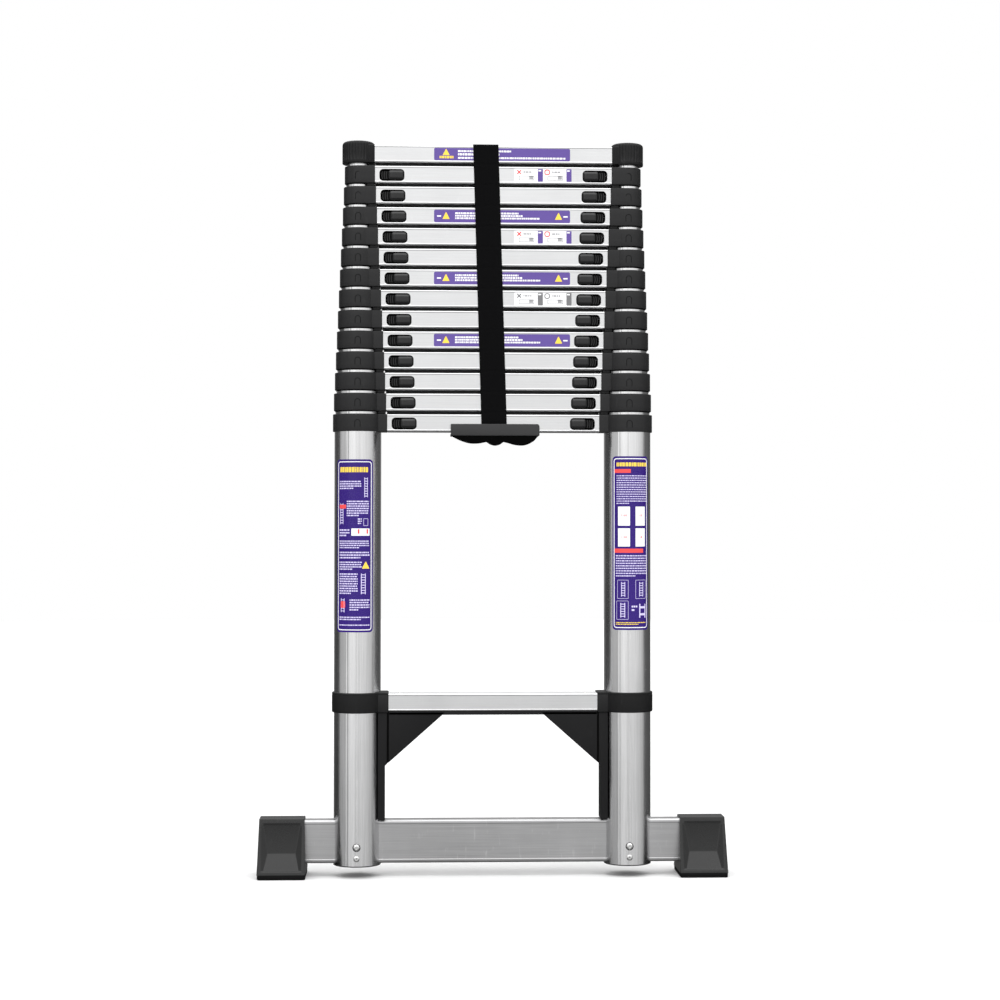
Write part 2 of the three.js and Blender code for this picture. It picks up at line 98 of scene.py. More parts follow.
@dataclass
class Graph:
    """Nodes and links of one material or world."""

    tree: bpy.types.NodeTree

    def add(self, kind: str) -> bpy.types.Node:
        """New node of a kind."""
        return self.tree.nodes.new(f"ShaderNode{kind}")

    def link(self, start: Socket, end: Socket) -> None:
        """Joins two sockets."""
        self.tree.links.new(start, end)

    def math(self, operation: str, *terms: Socket | float) -> Socket:
        """Result of a Math node.

        Args:
            operation: Name of the operation.
            terms: Its inputs in order, each a socket or a number.

        Returns:
            The result.
        """
        node = self.add("Math")
        node.operation = operation
        for socket, term in zip(node.inputs, terms):
            if isinstance(term, float):
                socket.default_value = term
            else:
                self.link(term, socket)
        return node.outputs[0]

    def noise(self, stretch: tuple[float, float, float], scale: float, detail: float) -> Socket:
        """Noise on Object coordinates, stretched by a factor on each axis.

        Args:
            stretch: Factor on X, Y and Z.
            scale: Noise scale, in cells to the metre.
            detail: Octaves.

        Returns:
            Output of the noise, about 0.5 on average.
        """
        place = self.add("TexCoord")
        mapping = self.add("Mapping")
        mapping.inputs["Scale"].default_value = stretch
        self.link(place.outputs["Object"], mapping.inputs["Vector"])
        noise = self.add("TexNoise")
        noise.inputs["Scale"].default_value = scale
        noise.inputs["Detail"].default_value = detail
        self.link(mapping.outputs["Vector"], noise.inputs["Vector"])
        return noise.outputs["Fac"]

    def ramp(self, value: Socket, stops: Sequence[tuple[float, Colour]]) -> Socket:
        """Colour ramp through the given stops.

        Args:
            value: Socket to read.
            stops: Position and colour of each stop.

        Returns:
            The ramp's colour.
        """
        node = self.add("ValToRGB")
        for k, (position, colour) in enumerate(stops):
            stop = node.color_ramp.elements[k] if k < 2 else node.color_ramp.elements.new(position)
            stop.position = position
            stop.color = (*colour, 1.0)
        self.link(value, node.inputs["Fac"])
        return node.outputs["Color"]

    def spread(self, value: Socket, source: tuple[float, float],
               target: tuple[float, float] = (0.0, 1.0)) -> Socket:
        """Value carried from one span to another and held inside it.

        Args:
            value: Socket to read.
            source: Span the value has.
            target: Span of the result.

        Returns:
            The spread value.
        """
        node = self.add("MapRange")
        node.inputs["From Min"].default_value, node.inputs["From Max"].default_value = source
        node.inputs["To Min"].default_value, node.inputs["To Max"].default_value = target
        self.link(value, node.inputs["Value"])
        return node.outputs["Result"]

    def relief(self, height: Socket, strength: float, distance: float, shader: bpy.types.Node) -> None:
        """Bump of a surface.

        Args:
            height: Socket with the height.
            strength: Strength of the bump.
            distance: Height of the bump, in metres.
            shader: Surface that takes it.
        """
        node = self.add("Bump")
        node.inputs["Strength"].default_value = strength
        node.inputs["Distance"].default_value = distance
        self.link(height, node.inputs["Height"])
        self.link(node.outputs["Normal"], shader.inputs["Normal"])


@dataclass(frozen=True)
class Finish:
    """One surface finish: base colour, gloss, and the grain, tone drift and scuffs that vary it."""

    name: str
    slot: str
    colour: Colour
    roughness: float
    metallic: float = 0.0
    grain: Grain = Grain.EVEN
    grain_scale: float = 900.0
    bump: float = 0.1
    drift: float = 0.1
    gloss_drift: float = 0.08
    scuffs: float = 0.0
    specular: float = 0.5

    def material(self) -> bpy.types.Material:
        """Material of this finish, made once.

        Returns:
            Principled surface painted on Object coordinates.
        """
        known = bpy.data.materials.get(self.name)
        if known:
            return known
        made = bpy.data.materials.new(self.name)
        made.use_nodes = True
        shader = made.node_tree.nodes["Principled BSDF"]
        shader.inputs["Metallic"].default_value = self.metallic
        shader.inputs["Specular IOR Level"].default_value = self.specular
        self._paint(Graph(made.node_tree), shader)
        return made

    def _toned(self, factor: float) -> Colour:
        """Base colour times a factor, at most 1."""
        return tuple(min(1.0, c * factor) for c in self.colour)

    def _gloss(self, graph: Graph, value: Socket, drift: float) -> Socket:
        """Roughness that drifts with a value between 0.3 and 0.7."""
        span = (max(0.02, self.roughness - drift), min(1.0, self.roughness + drift))
        return graph.spread(value, (0.3, 0.7), span)

    def _paint(self, graph: Graph, shader: bpy.types.Node) -> None:
        """Colour and roughness that follow a fine and a broad noise, and relief from the fine one.

        Args:
            graph: Graph of the material.
            shader: Its surface.
        """
        fine = graph.noise(self.grain.value, self.grain_scale, 3.0)
        broad = graph.noise((1.0, 1.0, 0.6), 14.0, 4.0)
        blend = graph.math("MULTIPLY_ADD", fine, 0.45, graph.math("MULTIPLY", broad, 0.55))
        stops = ((0.3, self._toned(1.0 - self.drift)), (0.7, self._toned(1.0 + self.drift)))
        colour = graph.ramp(blend, stops)
        gloss = self._gloss(graph, blend, self.gloss_drift)
        if self.scuffs > 0.0:
            colour, gloss = self._scuffed(graph, colour, gloss)
        graph.link(colour, shader.inputs["Base Color"])
        graph.link(gloss, shader.inputs["Roughness"])
        graph.relief(fine, self.bump, 0.0002, shader)

    def _scuffed(self, graph: Graph, colour: Socket, gloss: Socket) -> tuple[Socket, Socket]:
        """Sparse handling marks: thin stretched noise above a threshold lightens and dulls the surface.

        Args:
            graph: Graph of the material.
            colour: Colour before the marks.
            gloss: Roughness before the marks.

        Returns:
            Colour and roughness with the marks.
        """
        streak = graph.noise((1.0, 1.0, 0.25), 160.0, 6.0)
        gate = graph.spread(streak, (0.62, 0.74), (0.0, self.scuffs))
        paler = graph.add("Mix")
        paler.data_type = "RGBA"
        graph.link(gate, paler.inputs["Factor"])
        graph.link(colour, paler.inputs["A"])
        paler.inputs["B"].default_value = (*(min(1.0, c * 1.7 + 0.02) for c in self.colour), 1.0)
        return paler.outputs["Result"], graph.math("MULTIPLY_ADD", gate, 0.25, gloss)


@dataclass(frozen=True)
class WebbingFinish(Finish):
    """Woven finish: crossing ribs across and along the band, with a finer yarn noise over them."""

    rib_pitch: float = 1.3

    def _paint(self, graph: Graph, shader: bpy.types.Node) -> None:
        """Colour, roughness and relief that follow two crossing wave patterns.

        Args:
            graph: Graph of the material.
            shader: Its surface.
        """
        shader.inputs["Sheen Weight"].default_value = 0.02
        fine = graph.math("MULTIPLY", graph.noise((1.0, 1.0, 1.0), 1600.0, 2.0), 0.2)
        weave = graph.math("MULTIPLY_ADD", self._ribs(graph, "X"), 0.35, fine)
        cross = graph.math("MULTIPLY_ADD", self._ribs(graph, "Z"), 0.6, weave)
        stops = ((0.2, self._toned(1.0 - self.drift)), (0.9, self._toned(1.0 + self.drift)))
        graph.link(graph.ramp(cross, stops), shader.inputs["Base Color"])
        graph.link(self._gloss(graph, cross, 0.05), shader.inputs["Roughness"])
        graph.relief(cross, self.bump, 0.0004, shader)

    def _ribs(self, graph: Graph, direction: str) -> Socket:
        """Rounded ribs square to one axis.

        Args:
            graph: Graph of the material.
            direction: Axis the ribs follow one another along.

        Returns:
            Height of the ribs, from 0 to 1.
        """
        place = graph.add("TexCoord")
        wave = graph.add("TexWave")
        wave.bands_direction = direction
        wave.inputs["Scale"].default_value = math.pi / (10.0 * self.rib_pitch * MM)
        wave.inputs["Distortion"].default_value = 0.25
        graph.link(place.outputs["Object"], wave.inputs["Vector"])
        return wave.outputs["Fac"]


def film(name: str, colour: Colour, roughness: float = 0.35, drift: float = 0.04,
         specular: float = 0.5) -> Finish:
    """Printed film of one colour."""
    return Finish(f"film_{name}", "aluminium", colour, roughness, drift=drift, bump=0.03, specular=specular)


DRAWN_TUBE = Finish("drawn_aluminium", "aluminium", (0.88, 0.88, 0.885), 0.2, 1.0, Grain.ALONG_Z,
                    520.0, 0.7, 0.13, 0.06, 0.25)
DRAWN_RUNG = Finish("brushed_aluminium", "aluminium", (0.88, 0.885, 0.89), 0.34, 1.0, Grain.ALONG_X,
                    800.0, 0.3, 0.05, 0.06, 0.2)
DRAWN_BAR = Finish("drawn_bar", "aluminium", (0.58, 0.58, 0.585), 0.34, 1.0, Grain.ALONG_X,
                   500.0, 0.4, 0.1, 0.06, 0.3)
MOULDED = Finish("moulded_black", "black_plastic", (0.014, 0.014, 0.0145), 0.42, 0.0, Grain.EVEN,
                 1500.0, 0.14, 0.14, 0.07, 0.15, specular=0.28)
BAND_BLACK = Finish("band_black", "black_plastic", (0.0085, 0.0085, 0.0088), 0.45, 0.0, Grain.EVEN,
                    900.0, 0.14, 0.2, 0.07, 0.3, specular=0.22)
# Handle plate black, made lighter than the grip: painted light on the plate's lit front and top.
HANDLE_LIT_BLACK = Finish("handle_black_painted_light", "black_plastic", (0.02, 0.02, 0.021), 0.4, 0.0, Grain.EVEN,
                     1500.0, 0.12, 0.12, 0.06, 0.15, specular=0.45)
GLOSSY = Finish("button_black", "button_plastic", (0.005, 0.005, 0.0054), 0.2, 0.0, Grain.EVEN,
                1500.0, 0.05, 0.12, 0.05, 0.1, specular=0.55)
# Near-black finish: a real black liner at the slot's edging, elsewhere painted shade in the slot's cavity, on
# the pad's tail, in the collars' arch lines and under the collars.
SHADOW = Finish("liner_and_painted_shade", "button_plastic", (0.003, 0.003, 0.0032), 0.6, 0.0, Grain.EVEN,
                1500.0, 0.05, 0.12, 0.06, specular=0.1)
COATED = Finish("coated_steel", "black_steel", (0.009, 0.009, 0.0095), 0.5, 0.0, Grain.EVEN,
                1800.0, 0.12, 0.12, 0.06, 0.1, specular=0.14)
FOOT_RUBBER = Finish("foot_rubber", "rubber", (0.007, 0.0071, 0.0072), 0.3, 0.0, Grain.EVEN,
                     1300.0, 0.12, 0.12, 0.06, 0.15, specular=0.5)
SOLE_RUBBER = Finish("sole_rubber", "rubber", (0.004, 0.004, 0.0042), 0.75, 0.0, Grain.EVEN,
                     1300.0, 0.2, 0.12, 0.06, specular=0.15)
PLATED = Finish("plated_steel", "zinc_plate", (0.8, 0.8, 0.79), 0.25, 1.0, Grain.EVEN,
                1500.0, 0.08, 0.08, 0.06, 0.2)
# Near-black steel: the blind rivet's mandrel stub, and painted shade on the bolt's front washer and in the
# brace's grooves.
DARK_STEEL_AND_SHADE = Finish("dark_steel_and_painted_shade", "black_steel", (0.002, 0.002, 0.002), 0.7, 0.0, Grain.EVEN,
                    1500.0, 0.1, 0.1, 0.06, specular=0.05)
# Handle grip black, near-black and nearly without gloss: painted shade on the grip's underside, a shaded copy
# of the plate's black.
HANDLE_SHADED_BLACK = Finish("handle_black_painted_shade", "black_plastic", (0.0015, 0.0015, 0.0016), 0.6, 0.0, Grain.EVEN,
                   1500.0, 0.3, 0.12, 0.06, specular=0.02)
WEBBING = WebbingFinish("black_webbing", "webbing", (0.0024, 0.0024, 0.0027), 0.8, bump=0.5, drift=0.35,
                        specular=0.05)
VIOLET_DEEP = film("violet", (0.024, 0.006, 0.15), 0.28, 0.1, 0.35)
VIOLET_SOFT = film("violet_soft", (0.1, 0.06, 0.27))
FILM_WHITE = film("white", (0.82, 0.82, 0.83), drift=0.03)
FILM_LILAC = film("lilac", (0.6, 0.55, 0.8), drift=0.03)
FILM_YELLOW = film("yellow", (0.85, 0.6, 0.07))
FILM_RED = film("red", (0.75, 0.06, 0.06))
FILM_GREY = film("grey", (0.16, 0.16, 0.165), 0.4, 0.05)
FILM_PALE = film("pale", (0.33, 0.33, 0.34), 0.4, 0.05)
PALE_FLOOR = Finish("pale_floor", "aluminium", (0.9, 0.9, 0.9), 0.7, drift=0.01, bump=0.02)


@dataclass(frozen=True)
class Sizes:
    """Sizes the sub-assemblies share, in millimetres. Row 1 is the top rung and row 14 the base's."""

    rows: int = 14
    pitch: float = 31.0
    rung_height: float = 26.0
    rung_depth: float = 40.0
    rung_wall: float = 1.5
    lowest_rung: float = 662.5
    tube_offset: float = 202.5
    largest_radius: float = 35.0
    radius_step: float = 1.4
    tube_wall: float = 1.1
    collar_wall: float = 2.5
    longest_reach: float = 44.0
    reach_step: float = 1.58
    flange_depth: float = 22.0

    def radius(self, row: int) -> float:
        """Outer radius of a row's tubes."""
        return self.largest_radius - self.radius_step * (self.rows - row)

    def reach(self, row: int) -> float:
        """Distance from a tube's axis to the inner end of its collar's flange."""
        return self.longest_reach - self.reach_step * (self.rows - row)

    def bottom(self, row: int) -> float:
        """Height of a row's underside."""
        return self.lowest_rung + self.pitch * (self.rows - row)

    def body(self, row: int) -> str:
        """Body that a row's pieces ride on."""
        return "base" if row == self.rows else f"stage_{row:02d}"


SIZES = Sizes()


def unit(vectors: Grid) -> Grid:
    """Vectors divided by their lengths, along the last axis."""
    return vectors / np.maximum(np.linalg.norm(vectors, axis=-1, keepdims=True), 1e-12)


def eased(share: Grid) -> Grid:
    """Smooth step 3s^2 - 2s^3 of a share held between 0 and 1."""
    held = np.clip(share, 0.0, 1.0)
    return held * held * (3.0 - 2.0 * held)


def rounded_box(width: float, height: float, radius: float, steps: int = 5,
                centre: tuple[float, float] = (0.0, 0.0)) -> Grid:
    """Anticlockwise rectangle with quarter-circle corners: corner centre plus radius times (cos, sin).

    Args:
        width: Full width.
        height: Full height.
        radius: Corner radius.
        steps: Segments in each corner.
        centre: Middle of the rectangle.

    Returns:
        Outline points, two columns.
    """
    turn = np.linspace(0.0, math.pi / 2, steps + 1)
    quarter = np.arange(4)[:, None] * math.pi / 2 + turn[None, :]
    signs = np.array([(1, 1), (-1, 1), (-1, -1), (1, -1)], float)
    middle = signs * (width / 2 - radius, height / 2 - radius)
    loop = middle[:, None, :] + radius * np.stack([np.cos(quarter), np.sin(quarter)], -1)
    return loop.reshape(-1, 2) + centre


def inset(loop: Grid, amount: float) -> Grid:
    """Anticlockwise outline moved inwards: each point goes against the mitred mean of its edge normals.

    Args:
        loop: Outline points.
        amount: Distance inwards.

    Returns:
        Moved outline.
    """
    before = unit(loop - np.roll(loop, 1, 0))
    after = unit(np.roll(loop, -1, 0) - loop)
    normal_a = np.stack([before[:, 1], -before[:, 0]], -1)
    normal_b = np.stack([after[:, 1], -after[:, 0]], -1)
    mean = unit(normal_a + normal_b)
    mitre = np.maximum(0.5, np.sum(mean * normal_b, -1, keepdims=True))
    return loop - mean * amount / mitre


def smooth_curve(knots: Sequence[tuple[float, float]], steps: int = 8) -> Grid:
    """Catmull-Rom curve through knots: each span is the cubic whose end slopes are its neighbours' chords.

    Args:
        knots: Points to pass through.
        steps: Points in each span.

    Returns:
        Curve points, the last knot included.
    """
    line = np.array(knots, float)
    ends = np.vstack([2 * line[0] - line[1], line, 2 * line[-1] - line[-2]])
    a, b, c, d = ends[:-3, None], ends[1:-2, None], ends[2:-1, None], ends[3:, None]
    t = np.linspace(0.0, 1.0, steps, endpoint=False)[None, :, None]
    span = 0.5 * (2 * b + (c - a) * t + (2 * a - 5 * b + 4 * c - d) * t**2 + (3 * b - a - 3 * c + d) * t**3)
    return np.vstack([span.reshape(-1, 2), line[-1:]])


class Shell:
    """One closed skin gathered from point grids, in millimetres."""

    def __init__(self, mark: int = 0) -> None:
        """Starts an empty skin whose faces take the finish numbered mark."""
        self.mark = mark
        self.points: list[Grid] = []
        self.faces: list[list[int]] = []
        self.count = 0

    def add_points(self, points: Grid) -> int:
        """Stores points and returns the number of the first."""
        first = self.count
        flat = points.reshape(-1, 3)
        self.points.append(flat)
        self.count += len(flat)
        return first

    def grid(self, points: Grid, wrap: bool = False, keep: Grid | None = None) -> int:
        """One four-sided face for each cell of a grid of points.

        Args:
            points: Rows by columns by three.
            wrap: Joins the last column to the first.
            keep: Cells that have a face; all of them if it is left out.

        Returns:
            Number of the grid's first point.
        """
        rows, columns = points.shape[:2]
        first = self.add_points(points)
        index = np.arange(rows * columns).reshape(rows, columns) + first
        after = np.roll(index, -1, 1)
        if not wrap:
            index, after = index[:, :-1], after[:, :-1]
        cells = np.stack([index[:-1], after[:-1], after[1:], index[1:]], -1)
        chosen = cells.reshape(-1, 4) if keep is None else cells[keep]
        self.faces.extend(chosen.tolist())
        return first

    def cap(self, loop: Grid) -> None:
        """Closes a flat loop of points with one face."""
        first = self.add_points(loop)
        self.faces.append(list(range(first, first + len(loop))))

    def welded(self) -> tuple[Grid, list[list[int]]]:
        """Skin with the points that share a place made one.

        Returns:
            Points and faces, without faces that have closed up.
        """
        points = np.vstack(self.points)
        _, first, number = np.unique(np.round(points, 4), axis=0, return_index=True, return_inverse=True)
        number = number.reshape(-1)
        faces = []
        for face in self.faces:
            joined = [int(number[k]) for k in face]
            slim = [k for i, k in enumerate(joined) if k != joined[i - 1]]
            if len(set(slim)) > 2:
                faces.append(slim)
        return points[first], faces


def loft(rings: Grid, mark: int = 0) -> Shell:
    """Skin through rings of points, closed by a flat face at both ends.

    Args:
        rings: Rings by points by three.
        mark: Number of the finish.

    Returns:
        The closed skin.
    """
    shell = Shell(mark)
    shell.grid(rings, wrap=True)
    shell.cap(rings[0])
    shell.cap(rings[-1])
    return shell


def ring_body(rings: Grid, mark: int = 0) -> Shell:
    """Skin through rings that come back to the first ring, like a torus.

    Args:
        rings: Rings by points by three.
        mark: Number of the finish.

    Returns:
        The closed skin.
    """
    shell = Shell(mark)
    shell.grid(np.concatenate([rings, rings[:1]]), wrap=True)
    return shell


def stand(loop: Grid, height: float, axis: Axis) -> Grid:
    """Flat outline placed square to an axis.

    Args:
        loop: Outline points: (y, z) for X, (x, z) for Y and (x, y) for Z.
        height: Place along the axis.
        axis: The axis.

    Returns:
        Points in space.
    """
    column = {Axis.X: 0, Axis.Y: 1, Axis.Z: 2}[axis]
    return np.insert(loop, column, height, axis=1)


def prism(loop: Grid, low: float, high: float, axis: Axis, edge: float = 0.6, steps: int = 3,
          mark: int = 0) -> Shell:
    """Outline carried along an axis, its ends turned in over a quarter round of radius edge.

    Args:
        loop: Anticlockwise outline.
        low: One end along the axis.
        high: The other end; the two can come in either order.
        axis: The axis.
        edge: Radius of the end edges.
        steps: Segments in a quarter round.
        mark: Number of the finish.

    Returns:
        The closed skin.
    """
    low, high = sorted((low, high))
    turn = np.linspace(0.0, math.pi / 2, steps + 1)
    inwards = edge * (1.0 - np.sin(turn))
    along = edge * (1.0 - np.cos(turn))
    start = [stand(inset(loop, i), low + a, axis) for i, a in zip(inwards, along)]
    end = [stand(inset(loop, i), high - a, axis) for i, a in zip(inwards[::-1], along[::-1])]
    return loft(np.array(start + end), mark)


def block(x: tuple[float, float], y: tuple[float, float], z: tuple[float, float], edge: float = 0.6,
          axis: Axis = Axis.Z, mark: int = 0) -> Shell:
    """Rectangular body with all its edges rounded; each span's ends can come in either order.

    Args:
        x: Span along X.
        y: Span along Y.
        z: Span along Z.
        edge: Edge radius.
        axis: Axis it is carried along.
        mark: Number of the finish.

    Returns:
        The closed skin.
    """
    spans = {Axis.X: (y, z, x), Axis.Y: (x, z, y), Axis.Z: (x, y, z)}[axis]
    (a0, a1), (b0, b1), (low, high) = map(sorted, spans)
    loop = rounded_box(a1 - a0, b1 - b0, edge, 3, ((a0 + a1) / 2, (b0 + b1) / 2))
    return prism(loop, low, high, axis, edge, 3, mark)


def turned(profile: Sequence[tuple[float, float]], centre: tuple[float, float, float], axis: Axis = Axis.Z,
           sides: int = 48, mark: int = 0) -> Shell:
    """Closed profile turned about an axis: radius r and height h give centre + r(cos, sin) + h.

    Args:
        profile: (radius, height) points of a closed line.
        centre: Point on the axis.
        axis: The axis.
        sides: Points round the axis.
        mark: Number of the finish.

    Returns:
        The closed skin.
    """
    line = np.array(profile, float)
    turn = np.linspace(0.0, 2 * math.pi, sides, endpoint=False)
    radius, height = line[:, 0:1], line[:, 1:2]
    first, second = radius * np.cos(turn), radius * np.sin(turn)
    third = np.broadcast_to(height, first.shape)
    order = {Axis.X: (third, first, second), Axis.Y: (first, third, second), Axis.Z: (first, second, third)}
    return ring_body(np.stack(order[axis], -1) + centre, mark)


def walled(outer: Grid, inner: Grid, keep: Grid, wrap: bool, mark: int = 0) -> Shell:
    """Wall between two like grids, open where keep is false, with a rim round every opening.

    Args:
        outer: Rows by columns by three.
        inner: The wall's other face, the same shape.
        keep: Cells that have a wall.
        wrap: Joins the last column to the first.
        mark: Number of the finish.

    Returns:
        The closed skin.
    """
    shell = Shell(mark)
    columns = outer.shape[1]
    first = shell.grid(outer, wrap, keep)
    other = shell.grid(inner, wrap, keep)
    rows = np.pad(keep, ((1, 1), (0, 0)))
    i, j = np.nonzero(rows[:-1] != rows[1:])
    a, b = i * columns + j, i * columns + (j + 1) % columns
    sides = np.hstack([keep, keep[:, :1]]) if wrap else np.pad(keep, ((0, 0), (1, 1)))
    left = np.roll(keep, 1, 1) if wrap else sides[:, :-1]
    right = keep if wrap else sides[:, 1:]
    k, m = np.nonzero(left != right)
    c, d = k * columns + m, (k + 1) * columns + m
    a, b = np.concatenate([a, c]), np.concatenate([b, d])
    shell.faces.extend(np.stack([first + a, first + b, other + b, other + a], -1).tolist())
    return shell


@dataclass
class Piece:
    """One visible object: its skins, finishes, body and the frame nodes it stands for."""

    name: str
    body: str
    finishes: Sequence[Finish]
    shells: list[Shell]
    nodes: Sequence[str] = ()
    sharp: float = 38.0
    bevel: float = 0.0
    bends: tuple[str, str, Grid, Grid] | None = None

    def build(self) -> bpy.types.Object:
        """Returns:
            The object, at the origin, with its place in its mesh.
        """
        points, faces, marks, count = [], [], [], 0
        for shell in self.shells:
            places, cells = shell.welded()
            points.append(places)
            faces.extend([[k + count for k in cell] for cell in cells])
            marks.extend([shell.mark] * len(cells))
            count += len(places)
        mesh = bpy.data.meshes.new(self.name)
        mesh.from_pydata(np.vstack(points) * MM, [], faces)
        mesh.polygons.foreach_set("material_index", marks)
        solid = bmesh.new()
        solid.from_mesh(mesh)
        bmesh.ops.recalc_face_normals(solid, faces=solid.faces)
        solid.to_mesh(mesh)
        solid.free()
        mesh.polygons.foreach_set("use_smooth", [True] * len(mesh.polygons))
        mesh.set_sharp_from_angle(angle=math.radians(self.sharp))
        for finish in self.finishes:
            mesh.materials.append(finish.material())
        made = bpy.data.objects.new(self.name, mesh)
        bpy.context.scene.collection.objects.link(made)
        if self.bevel > 0.0:
            rounding = made.modifiers.new("rounded_edges", "BEVEL")
            rounding.width = self.bevel * MM
            rounding.segments = 3
            rounding.limit_method = "ANGLE"
            rounding.angle_limit = math.radians(self.sharp)
        if self.bends is None:
            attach(made, self.body)
        else:
            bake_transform(made)
        if self.nodes:
            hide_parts(*self.nodes)
        LOG.info("%s rides %s, %d faces", self.name, self.body, len(mesh.polygons))
        return made


def rod(path: Grid, facing: Grid, radius: float, sides: int = 8, mark: int = 0) -> Shell:
    """Round rod along a path: each ring is the path point plus radius times (cos, sin) in its own plane.

    Args:
        path: Points of the centre line.
        facing: A direction square to the path at each point.
        radius: Rod radius.
        sides: Points in a ring.
        mark: Number of the finish.

    Returns:
        The closed skin.
    """
    along = unit(np.gradient(path, axis=0))
    across = unit(np.cross(along, facing))
    turn = np.linspace(0.0, 2 * math.pi, sides, endpoint=False)
    cosine, sine = np.cos(turn)[None, :, None], np.sin(turn)[None, :, None]
    around = cosine * unit(facing)[:, None] + sine * across[:, None]
    return loft(path[:, None] + radius * around, mark)


def circle(radius: float, sides: int = 24, centre: tuple[float, float] = (0.0, 0.0)) -> Grid:
    """Anticlockwise circle of points about a centre."""
    turn = np.linspace(0.0, 2 * math.pi, sides, endpoint=False)
    return radius * np.stack([np.cos(turn), np.sin(turn)], -1) + centre


@dataclass
class Tube:
    """Drawn tube with shallow die lines down its front, open at both ends and where slots cross it."""

    centre_x: float
    radius: float
    low: float
    high: float
    wall: float = SIZES.tube_wall
    line_angles: tuple[float, ...] = (-25.0, 0.0)
    line_depth: float = 0.34
    line_half: float = 0.62
    slots: Sequence[tuple[float, float, float, float]] = ()

    def shell(self) -> Shell:
        """Tube wall on a grid of height and angle: (c + r sin a, -r cos a, z), r less a bell at each line.

        Returns:
            The closed skin.
        """
        fine = np.degrees(self.line_half / self.radius) * np.array([-2, -1.2, -0.6, 0, 0.6, 1.2, 2])
        angles = [np.linspace(-180.0, 174.0, 60)]
        angles += [line + fine for line in self.line_angles]
        heights = [self.low + np.array([0.0, 0.35]), np.linspace(self.low + 4, self.high - 4, 5),
                   self.high - np.array([0.35, 0.0])]
        for middle, half, z0, z1 in self.slots:
            angles.append(np.array([middle - half, middle + half]))
            heights.append(np.array([z0, z1]))
        angle = np.unique(np.round(np.concatenate(angles), 2))
        height = np.unique(np.round(np.concatenate(heights), 3))
        dip = np.zeros_like(angle)
        for line in self.line_angles:
            dip += self.line_depth * np.exp(-(np.radians(angle - line) * self.radius / self.line_half) ** 2)
        ends = np.where((height == height[0]) | (height == height[-1]), 0.3, 0.0)
        reach = self.radius - dip[None, :] - ends[:, None]
        turn = np.radians(angle)[None, :]
        rise = np.broadcast_to(height[:, None], reach.shape)

        def around(r: Grid) -> Grid:
            """Points at radius r for every height and angle."""
            return np.stack([self.centre_x + r * np.sin(turn), -r * np.cos(turn), rise], -1)

        inner = around(np.full_like(reach, self.radius - self.wall))
        return walled(around(reach), inner, self._kept(angle, height), True)

    def _kept(self, angle: Grid, height: Grid) -> Grid:
        """Cells of the wall that no slot takes away.

        Args:
            angle: Angles of the grid, in degrees.
            height: Heights of the grid.

        Returns:
            True where there is a wall.
        """
        middle_a = angle + np.diff(angle, append=angle[0] + 360.0) / 2
        middle_z = (height[1:] + height[:-1]) / 2
        keep = np.ones((len(middle_z), len(angle)), bool)
        for centre, half, z0, z1 in self.slots:
            off = np.abs((middle_a - centre + 180.0) % 360.0 - 180.0)
            keep &= ~((off < half)[None, :] & ((middle_z > z0) & (middle_z < z1))[:, None])
        return keep


